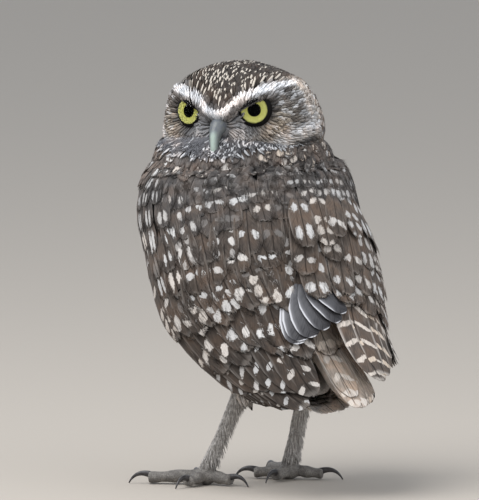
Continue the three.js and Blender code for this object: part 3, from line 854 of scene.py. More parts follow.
plumage = plumageMaterial("spottedPlumage")

# The folded wings' arms: how far they stand out, and where they begin and end round the body
wingShape = {
    "left": {"side": 1, "pad": 4.8},
    "right": {"side": -1, "pad": 5.4},
}
armShape = {"top": 0.7, "bottom": 6.2, "inner": 10, "outer": 118}


def armInner(down):
    return armShape["inner"] + 26 * (1 - ramp(down, 0, 0.3))


def armOuter(down):
    return armShape["outer"] - 22 * ramp(down, 0.35, 1) - 10 * (1 - ramp(down, 0, 0.3))


def armHeight(station, around, pad):
    down = np.clip((station - armShape["top"]) / (armShape["bottom"] - armShape["top"]), 0, 1)
    inner, outer = armInner(down), armOuter(down)
    over = np.clip((np.abs(around) - inner) / (outer - inner), 0, 1)
    edges = np.minimum(np.minimum(over, 1 - over), np.minimum(down * 1.4, (1 - down) * 1.6 + 0.06))
    edge = np.clip(4 * edges, 0, 1)
    wrist = 2.4 * bump(down - 0.22, 0.2) * bump(over - 0.85, 0.25)
    return 0.4 + (pad + wrist - 0.4) * np.sqrt(edge * (2 - edge))


# The mantle's feathers run on from one wing over the back to the other, with no step between
def backHeight(station, around):
    pad = np.where(around > 0, wingShape["left"]["pad"], wingShape["right"]["pad"])
    side = np.maximum(np.abs(around), 44)
    arm = armHeight(station, side, pad)
    edge = ramp(np.abs(around), 40, 60)
    full = armHeight(station, around, pad)
    return mix(arm, full, edge) * ramp(station, 0.0, 1.3)


def backSurface(station, around, height):
    return onBody(station, around, backHeight(station, around) + height, cape=True)


def brickRow(low, high, count, shifted, jitter=0.14):
    step = (high - low) / count
    places = low + step * (np.arange(count) + (0.25 if not shifted else 0.75))
    return places + rng.uniform(-jitter, jitter, count) * step


# Feathers of the breast, flanks and neck
bodyRows = {
    "first": -0.3,
    "last": 8.7,
    "rows": 36,
    "length": 14.0,
    "width": 9.5,
    "apart": 0.55,
    "neckEnd": 0.3,
    "wingTop": 1.2,
    "wingEdge": 96,
    "girth": {"station": [0, 1, 4, 6, 7, 8, 9], "mm": [250, 285, 305, 250, 180, 100, 60]},
}


def coverBody(coat):
    for i in range(bodyRows["rows"]):
        station = mix(bodyRows["first"], bodyRows["last"], i / (bodyRows["rows"] - 1))
        girth = float(np.interp(station, bodyRows["girth"]["station"], bodyRows["girth"]["mm"]))
        count = max(8, int(girth / (bodyRows["width"] * bodyRows["apart"])))
        around = brickRow(-180, 180, count, i % 2)
        hidden = (aroundSide(around) < bodyRows["wingEdge"]) & (station > bodyRows["wingTop"])
        around = around[~hidden & (station > bodyRows["neckEnd"])]
        n = len(around)
        if not n:
            continue
        stations = station + rng.uniform(-0.06, 0.06, n)
        front = ramp(np.abs(around), bodyRows["wingEdge"], 125)
        size = mix(0.7, 1.0, ramp(stations, 0, 2))
        length = bodyRows["length"] * size * rng.uniform(0.9, 1.15, n)
        marks = featherMarks(
            n, ventColour(stations, around), side=0.36, along=0.76,
            amount=np.where(rng.random(n) < 0.7, 1.0, 0.2) * (1 - 0.9 * front * ramp(stations, 2.6, 3.6))
            * (1 - ramp(stations, 6.8, 7.4)),
            wide=mix(0.24, 0.34, front), long=mix(0.12, 0.14, front), warm=rng.uniform(0.2, 0.9, n),
            value=rng.normal(1, 0.1, n), edge=0.3 * front, gap=0.5,
            rows=-0.75 * front * ramp(stations, 2.4, 3.4) * (1 - 0.8 * ramp(stations, 5.5, 7)),
        )
        bodyVanes(
            coat, stations, around, length, bodyRows["width"] * size * rng.uniform(0.9, 1.1, n), onBody, marks,
            lean=rng.normal(0, 2, n), rise=0.4, fray=0.03, thickness=0.06, barbs=12,
        )


# Mantle and scapulars: station of each row, length and width of its feathers
backRows = [
    (0.45, 11, 8),
    (0.8, 14, 9),
    (1.22, 17, 10.5),
    (1.7, 20, 12),
    (2.25, 23, 13.5),
    (2.85, 26, 14.5),
    (3.48, 28, 15),
    (4.12, 29, 15.5),
    (4.76, 29, 15.5),
]
backSides = {
    "left": {"from": 4.0, "to": 114.0, "bold": 1.0, "lighter": 0.0},
    "right": {"from": -112.0, "to": 6.0, "bold": 1.15, "lighter": 0.15},
}
backArc = 310.0


# A pair of spots on each feather: half its width and length in mm seen from the back and from the side,
# where it lies, how many feathers have one high on the back and lower down, and how many have more than one
backSpots = {
    "wide": (2.25, 1.2),
    "long": (2.2, 3.8),
    "aside": (0.46, 0.3),
    "along": (0.68, 0.76),
    "share": (0.45, 0.85),
    "smallAbove": 0.7,
    "faint": 0.2,
    "rowShare": 0.25,
    "rowAmount": 0.6,
}


def spottedMarks(n, station, around, width, length, bold):
    side = np.abs(around)
    edgeOn = ramp(side, 58, 88)
    early = ramp(station, 0.9, 2.0)
    look = backSpots
    amount = np.where(rng.random(n) < mix(*look["share"], early), 1.0, look["faint"]) * mix(0.65, 1.0, early)
    amount = amount * rng.uniform(0.75, 1.0, n)
    sideAt = mix(*look["aside"], edgeOn) * rng.uniform(0.88, 1.1, n)
    size = bold * mix(look["smallAbove"], 1.0, early)
    return featherMarks(
        n,
        bodyColour(station, around),
        side=sideAt,
        along=rng.uniform(*look["along"], n) - sideAt * 0.2,
        amount=amount,
        wide=mix(*look["wide"], edgeOn) * size * rng.uniform(0.75, 1.2, n) / (width / 2),
        long=mix(*look["long"], edgeOn) * size * rng.uniform(0.75, 1.3, n) / length,
        warm=rng.uniform(0, 0.6, n) ** 2,
        value=rng.normal(1.0, 0.05, n),
        rows=np.where(rng.random(n) < look["rowShare"], look["rowAmount"], 0.0) * amount * early,
        edge=0.12,
        gap=rng.uniform(0.4, 0.5, n),
    )


def coverBack(coat, name):
    region = backSides[name]
    arc = (region["to"] - region["from"]) / 360 * backArc
    for i, (station, length, width) in enumerate(backRows):
        count = max(4, int(arc / (width * mix(0.6, 0.78, ramp(i, 1, 4)))))
        around = brickRow(region["from"], region["to"], count, i % 2)
        n = len(around)
        small = 1 - 0.35 * ramp(np.abs(around), 62, 105)
        stations = station + rng.uniform(-0.08, 0.08, n)
        lengths = length * small * rng.uniform(0.93, 1.08, n)
        widths = width * small * rng.uniform(0.94, 1.08, n)
        marks = spottedMarks(n, stations, around, widths, lengths, region["bold"])
        marks["shade"][:, 0] *= 1 + region["lighter"] * ramp(-around, 10, 40)
        bodyVanes(
            coat, stations, around, lengths, widths, backSurface, marks, lean=rng.normal(0, 2.0, n),
            sink=0.15, rise=0.08 + 0.04 * i, fray=0.03, camber=0.002, thickness=0.05, barbs=70,
        )


# Neck: a short slope from under the head's feathers down to the body
neckSlope = {"down": math.radians(20), "facing": 54.5, "station": 0.55, "long": 20.0}
# The share of the slope that the face takes up, by degrees aside from where it faces
faceReach = {"aside": [-90, -65, -45, 0, 18, 30, 50, 75], "share": [0, 0.3, 0.5, 0.58, 0.5, 0.25, 0.12, 0]}


def faceAside(around):
    return (neckSlope["facing"] - around + 180) % 360 - 180


def neckPlace(share, around, height):
    share, around, height = np.broadcast_arrays(*(np.asarray(v, float) for v in (share, around, height)))
    turn, down = np.radians(around), neckSlope["down"]
    level = math.cos(down)
    world = np.stack([np.sin(turn) * level, np.cos(turn) * level, 0 * turn - math.sin(down)], axis=-1)
    start = head["centre"] + headSurface(world @ headAxes.T, np.full(turn.shape, -1.0)) @ headAxes
    front = ramp(aroundSide(around), 100, 120)[..., None]
    foot = neckSlope["station"] + 0 * turn
    end = mix(backSurface(foot, around, height), onBody(foot, around, height), front)
    bend = onBody(0 * turn, around, 1.0 + height)
    w = np.clip(share, 0, 1)[..., None]
    sloped = (1 - w) ** 2 * start + 2 * w * (1 - w) * bend + w**2 * end
    past = np.maximum(share - 1, 0) * neckSlope["long"] / mmPerStation
    below = mix(backSurface(foot + past, around, height), onBody(foot + past, around, height), front)
    return np.where((share > 1)[..., None], below, sloped)


# The way out of the slope, from its places close by
def neckOut(share, around):
    here = neckPlace(share, around, 0.0)
    return unit(np.cross(neckPlace(share, around + 1, 0.0) - here, here - neckPlace(share + 0.02, around, 0.0)))


# Share of the slope where each row starts, length and width of its feathers
neckRows = [(-0.05, 9, 5.5), (0.1, 10, 6), (0.28, 11, 6.5), (0.46, 12, 7), (0.64, 12, 7.5), (0.82, 13, 8)]


neckLook = {"girth": 250, "apart": 0.6, "spotted": 0.45, "barbs": 16}


def coverNeck(coat):
    for i, (share, length, width) in enumerate(neckRows):
        around = brickRow(-180, 180, int(neckLook["girth"] / (width * neckLook["apart"])), i % 2)
        around = around[share > np.interp(faceAside(around), faceReach["aside"], faceReach["share"]) - 0.12]
        n = len(around)
        shares = share + rng.uniform(-0.05, 0.05, n)
        lengths = length * rng.uniform(0.85, 1.2, n)
        front = ramp(aroundSide(around - 20), 100, 140)
        ground = layer(bodyColour(0 * around, around), ink["warm"], rng.uniform(0, 0.35, n))
        ground = layer(ground, ink["down"], front * rng.uniform(0, 0.7, n))
        marks = featherMarks(
            n, ground, side=0.0, along=0.72,
            amount=np.where(rng.random(n) < neckLook["spotted"], 0.9, 0.1) * (1 - front),
            wide=rng.uniform(0.45, 0.8, n), long=0.2, warm=rng.uniform(0, 0.7, n),
            value=rng.normal(1, 0.1, n), edge=0.1,
        )
        lean = rng.normal(0, 4, n)

        def path(part):
            share = shares + lengths / neckSlope["long"] * part
            return neckPlace(share, around + lean * part, -0.3 + 1.1 * part)

        def outward(part):
            return neckOut(shares + lengths / neckSlope["long"] * part, around + lean * part)

        bake = bodyUnwrap(0.02 + 0 * around, around)
        addVanes(coat, path, outward, width, marks, bake, fray=0.06, barbs=neckLook["barbs"])


# Fine feathers of the chin and the lower cheeks, on the top of the neck's slope
chinCount = 2600


def coverChin(coat):
    around = rng.uniform(-180, 180, chinCount)
    aside = faceAside(around)
    reach = np.interp(aside, faceReach["aside"], faceReach["share"])
    share = rng.uniform(-0.25, 0.62, chinCount)
    kept = (share < reach) & (reach > 0.02)
    around, aside, share, reach = around[kept], aside[kept], share[kept], reach[kept]
    n = len(around)
    # The grey-blue ground is painted shade under the face, darker still right of the bill on the side away from the
    # light (more painted shade); the pale bristles and the lower fringe are the chin's own colour.
    shadedRightOfBill = ramp(aside, 2, 10)
    ground = layer(ink["smooth"], ink["faceDark"], 0.5 * shadedRightOfBill)
    pale = np.maximum(ramp(share - reach, -0.1, -0.02), (rng.random(n) < 0.1 + 0.22 * shadedRightOfBill) * 0.8)
    ground = layer(ground, ink["brow"], 0.75 * pale)
    marks = featherMarks(n, ground * rng.uniform(0.85, 1.1, (n, 1)), value=rng.normal(1, 0.05, n))
    length = rng.uniform(4.5, 7.0, n)
    lean = rng.normal(0, 5, n)

    def path(part):
        return neckPlace(share + length / neckSlope["long"] * part, around + lean * part, 0.6 + 1.1 * part)

    def outward(part):
        return neckOut(share + length / neckSlope["long"] * part, around + lean * part)

    addVanes(coat, path, outward, 1.5, marks, bodyUnwrap(0.02 + 0 * around, around), form="small", fray=0.06)


# Feathers spread evenly from the first place to the last, (station, degrees, height)
def between(ends, share):
    first, last = (np.array(p, float) for p in ends)
    return first[None, :] + (last - first)[None, :] * share[:, None]


# Curves over the folded wings from root over bend to tip: their places, and the way out there
def capeCurves(root, bend, tip):
    def at(part, extra=0.0):
        p = (1 - part) ** 2 * root + 2 * part * (1 - part) * bend + part**2 * tip
        return onBody(p[:, 0], p[:, 1], p[:, 2] + extra, cape=True)

    return at, lambda part: unit(at(part, 5.0) - at(part))


# Wing feathers in tiers. Where the outermost and the innermost feather start, end and bend, (station, degrees,
# height), and their widths; flight feathers have rows of marks, coverts a pair of spots.
wingTiers = {
    "left": [
        {"flight": True, "count": 7, "from": [(5, 92, 1.2), (5.2, 58, 1.8)],
         "to": [(9.3, 89, 0.8), (10.6, 64, 2.0)], "width": [13, 17], "light": 0.75, "rows": 0.6},
        {"flight": True, "count": 6, "from": [(4.4, 96, 2.4), (4.8, 22, 2.8)],
         "to": [(8.7, 86, 3.0), (10.4, 42, 3.2)], "width": [16, 20], "light": 0.75, "rows": 0.7},
        {"count": 9, "from": [(4.1, 102, 3), (4.6, 14, 3)], "to": [(7.2, 92, 4.2), (8.8, 24, 4.6)],
         "width": [14, 17], "light": 0.85},
        {"count": 10, "from": [(3.5, 102, 3.4), (3.8, 10, 3.6)], "to": [(6.0, 96, 5.2), (6.8, 11, 6.2)],
         "width": [13, 15], "light": 0.9},
    ],
    "right": [
        {"flight": True, "count": 7, "from": [(5, 94, 3), (5.3, 72, 4)], "to": [(7.9, 86, 6), (8.8, 66, 11)],
         "width": [9, 10]},
        {"flight": True, "count": 7, "from": [(4.4, 96, 4), (5.6, 40, 4)], "to": [(8.0, 72, 7), (9.3, 54, 6.5)],
         "width": [13, 15]},
        {"flight": True, "count": 4, "from": [(6.05, 42, 5.6), (6.3, 26, 6.6)],
         "to": [(8.9, 57, 7.4), (10.5, 37, 9.0)], "bend": [(7.2, 55, 8.0), (8.9, 12, 9.8)], "width": [16, 23],
         "light": 1.6, "warm": 0.4, "broad": 1.8},
        {"count": 8, "from": [(3.9, 100, 4.2), (4.4, 14, 5.2)], "to": [(6.8, 90, 7.2), (7.4, 16, 10.4)],
         "width": [13, 16], "light": 1.4},
        {"count": 7, "from": [(3.3, 102, 4.4), (4.0, 2, 5.6)], "to": [(5.9, 94, 7.8), (6.7, 0, 10.6)],
         "width": [13, 17], "light": 1.4},
        {"count": 8, "from": [(2.7, 102, 4.2), (3.2, 0, 5.4)], "to": [(4.9, 94, 7.0), (5.6, -2, 9.4)],
         "width": [13, 16], "light": 1.35},
        {"count": 9, "from": [(2.3, 100, 4.6), (2.8, 0, 6.0)], "to": [(3.9, 95, 7.5), (4.7, -4, 9.8)],
         "width": [12, 15], "light": 1.25},
    ],
}
tierForms = {
    "flight": {"loose": 0.1, "turned": 1, "long": 1.7, "gap": 1, "thickness": 0.14, "roll": 0.25, "fray": 0.006},
    "covert": {"loose": 0.3, "turned": 3, "long": 2.5, "gap": 1.25, "thickness": 0.06, "roll": 0.1, "fray": 0.02,
               "barbs": 60},
}
# How pale the feathers' margins are, on the right wing's flight feathers, the left's and the coverts
tierEdges = {"right": 0.6, "left": 0.15, "covert": 0.12}


def tierVanes(coat, name, tier):
    n, side = tier["count"], wingShape[name]["side"]
    flight = tier.get("flight", False)
    look = tierForms["flight" if flight else "covert"]
    share = np.linspace(0, 1, n)
    start, end = between(tier["from"], share), between(tier["to"], share)
    end[:, 0] += rng.uniform(-look["loose"], look["loose"], n)
    end[:, 1] += rng.uniform(-1, 1, n) * look["turned"]
    bend = between(tier["bend"], share) if "bend" in tier else (start + end) / 2
    for place in (start, bend, end):
        place[:, 1] *= side
    at, outward = capeCurves(start, bend, end)
    width = mix(tier["width"][0], tier["width"][1], share)
    length = np.linalg.norm(at(1.0) - at(0.0), axis=-1)
    marks = featherMarks(
        n, bodyColour(mix(start[:, 0], end[:, 0], 0.6), end[:, 1]), side=rng.uniform(0.42, 0.52, n),
        along=rng.uniform(0.66, 0.76, n), amount=0.0 if flight else rng.uniform(0.7, 1.0, n),
        wide=2.5 * tier.get("broad", 1.0) * rng.uniform(0.85, 1.2, n) / (width / 2),
        long=look["long"] * rng.uniform(0.8, 1.2, n) / length,
        warm=rng.uniform(0, 0.4, n) + tier.get("warm", 0.0),
        value=rng.normal(tier.get("light", 1.0), 0.08, n), edge=tierEdges[name if flight else "covert"],
        rows=tier.get("rows", 0.95) if flight else 0.8 * (rng.random(n) < 0.7),
        gap=rng.uniform(8.5, 11.5, n) / length * look["gap"],
    )
    addVanes(
        coat, at, outward, width, marks, bodyUnwrap(start[:, 0], start[:, 1]), form="long",
        thickness=look["thickness"], camber=0.006, roll=-side * look["roll"], fray=look["fray"],
        barbs=look.get("barbs", 0),
    )


for name, cover in (("bodyFeathers", coverBody), ("neckFeathers", coverNeck), ("chinFeathers", coverChin)):
    bodyCoat = Coat()
    cover(bodyCoat)
    bodyCoat.build(name, plumage)
for name in ("left", "right"):
    wingCoat = Coat()
    for tier in wingTiers[name]:
        tierVanes(wingCoat, name, tier)
    coverBack(wingCoat, name)
    wingCoat.build("wingFeathers" + name.title(), plumage)


# Grey fan of the right wing's loose inner feathers, over the rump, from the lowest to the topmost:
# root, bend and tip of each, (station, degrees, height)
greyFan = {
    "feathers": [
        [(6.0, 8, 5.2), (7.4, 22, 6.8), (8.56, 25, 6.6)],
        [(6.0, 8, 5.4), (7.43, 20, 7.2), (8.5, 22, 6.9)],
        [(6.0, 7, 5.7), (7.5, 16, 7.9), (8.5, 13.5, 7.6)],
        [(6.0, 5.5, 6.0), (7.4, 8, 8.7), (8.3, 2, 8.4)],
        [(5.95, 4, 6.3), (7.15, -1, 9.5), (8.05, -8, 9.2)],
        [(5.9, 3, 6.6), (6.8, -7, 10.2), (7.7, -13.5, 9.8)],
    ],
    "width": 14.5,
}


def fanMaterial():
    s = Shader("silkyGrey")
    x, along = s.uv("Vane")
    aside = s.op("ABSOLUTE", s.times(s.less(x, 0.5), 2.0))
    cross = s.less(along, s.times(aside, 0.3))
    barbs = s.noise(1.0, 2, 0.5, s.vector(s.times(aside, 1.5), s.times(cross, 60), 0.0))
    # Lighter near the root and darker towards the tips: a painted sheen on the silky vanes.
    colour = s.blend(s.span(along, 0.5, 0.95), rgb(80, 80, 83), rgb(38, 37, 40))
    colour = s.blend(s.span(barbs, 0.3, 0.7, 0.0, 0.3), colour, rgb(120, 119, 122))
    pale = s.blend(s.span(aside, 0.55, 0.98, 0.0, 0.4), colour, rgb(170, 170, 174))
    margin = s.most(s.span(aside, 0.8, 0.93), s.span(along, 0.965, 0.99))
    colour = s.blend(margin, pale, rgb(206, 206, 210))
    colour = s.blend(s.span(aside, 0.02, 0.05, 0.5, 0.0), colour, rgb(50, 48, 50))
    return s.finish(colour, 0.6, barbs, 0.3, 0.0002, Specular_IOR_Level=0.25)


def makeFan():
    coat = Coat()
    root, bend, tip = np.array(greyFan["feathers"]).transpose(1, 0, 2)
    at, outward = capeCurves(root, bend, tip)
    marks = featherMarks(len(root), ink["faceGrey"])
    addVanes(
        coat, at, outward, greyFan["width"], marks, bodyUnwrap(root[:, 0], root[:, 1]), form="long",
        thickness=0.2, camber=0.006, roll=-0.15, fray=0.002,
    )
    coat.build("greyFan", fanMaterial())


makeFan()

# Tail: six pairs, the middle ones on top, with white down under them and coverts over their roots
tail = {
    "root": np.array([0, 52.0, 97.0]),
    "tip": np.array([-6, 97.5, 48.5]),
    "pairs": 6,
    "width": 14.0,
    "turn": 1.3,
    "step": 1.5,
    "drop": 0.6,
    "shorter": [6.5, 0.2, 1.5, 2.8, 4.1, 5.4],
    "sunk": 3.4,
    "leftSpread": 0.1,
}
tailDown = {"count": 9, "reach": 9, "below": 12.0, "before": 8, "length": 40, "lift": 3, "width": 11.0}
tailCoverts = {
    "count": 7, "reach": 7, "turn": 9, "above": 1.5, "drop": 4, "length": 34, "shorter": 6, "width": 14.0,
}


def makeTail():
    coat = Coat()
    line = tail["tip"] - tail["root"]
    heading = unit(line)
    upward = np.array([0, -heading[2], heading[1]])
    across = np.array([1.0, 0, 0])

    def vanes(roots, headings, lengths, bend, width, marks, unwrap, out=upward, **form):
        def path(part):
            return roots + headings * lengths * part + upward * bend * part**2

        def outward(part):
            return np.broadcast_to(out, roots.shape)

        addVanes(coat, path, outward, width, marks, bodyUnwrap(*unwrap), **form)

    k = np.repeat(np.arange(tail["pairs"]), 2)
    side = np.tile([1, -1], tail["pairs"])
    spread = np.where(side > 0, tail["leftSpread"], 1.0)
    turn = np.radians(side * spread * tail["turn"] * (k + 0.5))[:, None]
    headings = heading * np.cos(turn) + across * np.sin(turn)
    roots = tail["root"] + across * (side * spread * tail["step"] * (k + 0.4) * 0.6)[:, None]
    roots = roots - upward * (tail["sunk"] + tail["drop"] * (k + np.where(side > 0, 0, 0.5)))[:, None]
    lengths = (np.linalg.norm(line) - np.array(tail["shorter"])[k])[:, None]
    n = len(k)
    marks = featherMarks(
        n, ink["tail"], side=0.36, along=0.93, amount=1.0, wide=0.36, long=0.035,
        warm=rng.uniform(0.2, 1, n), value=rng.normal(1.35, 0.06, n), edge=np.where(k < 2, 0.6, 0.1), rows=0.95,
        gap=0.2,
    )
    vanes(roots, headings, lengths, 0, tail["width"], marks, (6 + 0 * k, side * (4.0 + 5 * k)), form="long",
          thickness=0.25, camber=0.004, roll=-side * 0.25, fray=0.004)
    form = tailDown
    n = form["count"]
    fan = np.linspace(-1, 1, n)[:, None]
    roots = tail["root"] + across * form["reach"] * fan - upward * form["below"] - heading * form["before"]
    marks = featherMarks(n, ink["down"], value=rng.normal(1.1, 0.06, n))
    vanes(roots, heading, form["length"], form["lift"], form["width"], marks,
          (6.5 + np.zeros(n), np.linspace(-60, 60, n)), out=-upward, fray=0.05)
    form = tailCoverts
    n = form["count"]
    fan = np.linspace(-1, 1, n)[:, None]
    turn = np.radians(form["turn"] * fan)
    headings = heading * np.cos(turn) + across * np.sin(turn)
    roots = tail["root"] + across * form["reach"] * fan + upward * (form["above"] - form["drop"] * np.abs(fan))
    marks = featherMarks(
        n, ink["tail"], side=0.3, along=0.8, amount=0.9, wide=0.6, long=0.07, warm=0.6,
        value=rng.normal(1.3, 0.06, n), edge=0.5,
    )
    vanes(roots, headings, form["length"] - form["shorter"] * np.abs(fan), -4.0, form["width"], marks,
          (5.5 + np.zeros(n), np.linspace(-30, 30, n)), form="long", thickness=0.2, fray=0.02)
    coat.build("tailFeathers", plumage)


makeTail()

# Head: short feathers that lie away from the bill and, on the face, away from the eyes
headCoat = {
    "count": 6400,
    "gather": 1.15,
    "bill": np.array([33.0, 0, -4.0]),
    "length": {"all": 4.2, "crown": 4.2, "nape": 5.0, "brow": 1.0, "lores": 1.5, "bib": 3},
    "width": {"all": 1.4, "crown": 1.9, "nape": 5.0, "brow": 0.1},
    "rise": {"all": 0.5, "brow": 0.5, "lores": 0.5, "nape": 0.5},
    "thinned": {"crown": 0.55, "nape": 0.5},
    "streaked": 0.45,
    "blotched": 0.4,
}
# Where the face has no feathers, in mm of the head's own frame
bareFace = {
    "eye": 7.4,
    "eyeLift": 0.4,
    "browLift": 2.4,
    "browSlope": 0.45,
    "eyeFront": 8,
    "billHalf": 4.4,
    "billFront": 20,
    "billTop": -1.0,
    "billBottom": -17,
    "neck": -26,
}


def headPlace(direction, height):
    return head["centre"] + headSurface(direction, height) @ headAxes


def headFlow(place, direction):
    away = unit(place - headCoat["bill"])
    for side in (1, -1):
        middle = np.array([eye["forward"], side * eye["spread"], eye["level"]])
        gap = place - middle
        near = np.linalg.norm(gap, axis=-1, keepdims=True)
        away = away + unit(gap) * 1.6 * np.exp(-((near / 13) ** 2))
    away = away + np.array([-0.25, 0, -0.5]) * ramp(-place[:, 2:3], -4, 12) * ramp(-place[:, 0:1], -14, 4)
    return unit(away - dot(away, direction) * direction)


# Points spread evenly over the head, closer together on its face, each with a random share
def headRoots(count, gather):
    k = np.arange(count) + 0.5
    polar = math.pi * (np.arccos(1 - 2 * k / count) / math.pi) ** gather
    turn = math.pi * (1 + math.sqrt(5)) * k
    direction = np.stack([np.cos(polar), np.sin(polar) * np.sin(turn), np.sin(polar) * np.cos(turn)], axis=-1)
    return unit(direction + rng.normal(0, 0.006, direction.shape))


def headVanes(coat, direction, length, width, marks, rise, sink=1.0):
    place = headSurface(direction, np.zeros(len(direction)))
    flow = headFlow(place, direction)

    def towards(part):
        # the feather bends with the head: its places are put back on the surface
        return unit(place + flow * (length * part)[:, None])

    addVanes(
        coat, lambda part: headPlace(towards(part), -sink + (sink + rise) * part),
        lambda part: unit(towards(part) @ headAxes), width, marks, headUnwrap(direction), form="small",
        thickness=0.1, camber=0.03, fray=0.06,
    )


def openPlaces(place):
    ahead, side, top = place[:, 0], np.abs(place[:, 1]), place[:, 2]
    openEye = np.hypot(side - eye["spread"], top - eye["level"] + bareFace["eyeLift"]) < bareFace["eye"]
    browOver = top > eye["level"] + bareFace["browLift"] + bareFace["browSlope"] * (side - eye["spread"])
    openEye &= (ahead > bareFace["eyeFront"]) & ~browOver
    openBill = (side < bareFace["billHalf"]) & (ahead > bareFace["billFront"])
    openBill &= (top < bareFace["billTop"]) & (top > bareFace["billBottom"])
    return openEye | openBill | (top < bareFace["neck"])


# One of the head coat's sizes: its plain value and what each region adds to it
def headSize(name, masks):
    table = headCoat[name]
    return sum((more * masks[mask] for mask, more in table.items() if mask != "all"), table["all"])


def coverHead():
    coat = Coat()
    direction = headRoots(headCoat["count"], headCoat["gather"])
    place = headSurface(direction, np.zeros(len(direction)))
    m = headMasks(place[:, 0], place[:, 1], place[:, 2])
    m["crown"] = m["crown"] * (1 - m["brow"])
    m["nape"] = ramp(-place[:, 0], -6, 6) * (1 - m["crown"])
    kept = ~openPlaces(place)
    for name, share in headCoat["thinned"].items():
        kept &= ~((m[name] > 0.5) & (rng.random(len(place)) < share))
    direction, place = direction[kept], place[kept]
    m = {name: mask[kept] for name, mask in m.items()}
    n = len(place)
    length = headSize("length", m) * rng.uniform(0.85, 1.2, n)
    blotch = np.where(rng.random(n) < headCoat["blotched"], 1.0, 0.0) * m["nape"]
    ground = layer(headColour(place), ink["brown"], blotch * 0.9)
    steady = np.maximum(m["brow"], m["smooth"])[:, None]
    ground = ground * mix(rng.uniform(0.8, 1.15, (n, 1)), 1.05, steady)
    streaked = np.where(rng.random(n) < headCoat["streaked"], 1.0, 0.0)
    marks = featherMarks(
        n, ground, side=0.0, along=0.6, value=rng.normal(1.0, 0.1, n), streak=m["crown"] * streaked,
        wide=1.2, long=0.13, gap=0.5, rows=-0.75 * m["nape"],
    )
    headVanes(coat, direction, length, headSize("width", m), marks, headSize("rise", m))
    coat.build("headFeathers", plumage)


coverHead()

# Ways out round the eye's axis, for a ring of points
def eyeCircle(frame, sides):
    turn = np.linspace(0, 2 * math.pi, sides, endpoint=False)[:, None]
    across = unit(np.cross(frame["axis"], headAxes[2]))
    return across * np.cos(turn) + np.cross(across, frame["axis"]) * np.sin(turn)


# Eyes: a yellow iris round a black pupil under a clear cornea, in a black rim
def ballPoints(radiusAt, frame, rings=48, sides=64):
    # a closed shape turned round the eye's axis; radiusAt(polar) in mm
    polar = np.linspace(0.001, math.pi - 0.001, rings)
    around = eyeCircle(frame, sides)
    r = radiusAt(polar)
    points = frame["centre"] + frame["axis"] * (r * np.cos(polar))[:, None, None]
    points = points + around[None] * (r * np.sin(polar))[:, None, None]
    return ringTube(points)


cornea = {"radius": 7.8, "forward": 4.0}
irisForm = {"flat": 7.3, "front": 1.2, "inside": 0.35}


def eyeOutline(polar, grown=0.0):
    ahead = cornea["forward"] * np.cos(polar)
    aside = cornea["forward"] * np.sin(polar)
    bulge = ahead + np.sqrt(np.maximum(0, (cornea["radius"] + grown) ** 2 - aside**2))
    return np.maximum(eye["radius"] + grown, bulge)


def irisOutline(polar):
    flat = irisForm["flat"] / np.maximum(np.cos(polar), 0.05)
    return np.minimum(eyeOutline(polar, -irisForm["inside"]), np.where(polar < irisForm["front"], flat, np.inf))


def eyeMaterial(name, frame):
    s = Shader(name)
    gap, onAxis = s.along(frame["centre"], frame["axis"])
    far = s.node("ShaderNodeVectorMath", {0: gap, 1: gap}, operation="DOT_PRODUCT").outputs["Value"]
    out = s.times(s.op("SQRT", s.most(s.less(far, s.times(onAxis, onAxis)), 0.0)), 1000.0)
    fibres = s.noise(1400, 4, 0.65)
    colour = s.over(
        rgb(172, 172, 92),
        (s.span(out, 3.2, 6.4), rgb(194, 194, 116)),
        (s.span(fibres, 0.35, 0.7, 0.0, 0.5), rgb(160, 158, 88)),
        (s.span(out, 6.2, 6.8), rgb(70, 66, 30)),
        (s.span(out, 6.8, 7.1), rgb(14, 12, 12)),
        (s.span(out, eye["pupil"] - 0.1, eye["pupil"] + 0.15, 1.0, 0.0), (0.002, 0.002, 0.002)),
    )
    return s.finish(colour, 0.5, fibres, 0.2, 0.0001, Specular_IOR_Level=0.0)


def corneaMaterial():
    s = Shader("clearCornea")
    s.surface.inputs["Transmission Weight"].default_value = 1.0
    s.surface.inputs["IOR"].default_value = 1.1
    return s.finish((1, 1, 1), 0.0, Specular_IOR_Level=0.2)


def lidMaterial():
    s = Shader("darkLid")
    fine = s.noise(900, 3)
    colour = s.blend(fine, rgb(10, 9, 9), rgb(26, 24, 24))
    return s.finish(colour, 0.8, fine, 0.4, 0.0002, Specular_IOR_Level=0.1)


lid = {"outer": 10.75, "inner": 10.15, "opening": 6.7, "slope": math.radians(27), "clear": 3.6}
# The rim's section: which radius, how much beyond it, and the angle past the opening
lidSection = [
    ("inner", 0, 0.3), ("inner", 0, 0.02), ("inner", 0.3, -0.02), ("outer", -0.35, 0.0),
    ("outer", 0, 0.06), ("outer", -0.1, 0.25), ("outer", -0.8, 0.5), ("inner", -0.6, 0.62),
]


def lidPoints(frame, sides=72):
    # a bowl-shaped rim round the eye, cut off above by the sloping brow
    axis, side = frame["axis"], frame["side"]
    around = eyeCircle(frame, sides)
    slope = headAxes[2] * math.cos(lid["slope"]) - headAxes[1] * side * math.sin(lid["slope"])
    point = frame["iris"] + headAxes[2] * lid["clear"]
    polar = np.linspace(0.05, 0.75, 300)
    trial = frame["centre"] + lid["inner"] * (
        axis * np.cos(polar)[:, None, None] + around[None] * np.sin(polar)[:, None, None]
    )
    over = (trial - point) @ slope > 0
    limit = np.where(over.any(0), polar[np.argmax(over, axis=0)], 9)
    opening = np.minimum(math.asin(lid["opening"] / lid["inner"]), limit)
    rows = []
    for which, beyond, past in lidSection:
        angle = (opening + past)[:, None]
        rows.append(frame["centre"] + (lid[which] + beyond) * (axis * np.cos(angle) + around * np.sin(angle)))
    rings = np.stack(rows)
    rows, count = rings.shape[:2]
    at = np.arange(rows * count).reshape(rows, count)
    following = np.roll(at, -1, axis=1)
    down = np.roll(np.arange(rows), -1)
    quads = np.stack([at, following, following[down], at[down]], axis=-1).reshape(-1, 4)
    return rings.reshape(-1, 3), [quads]


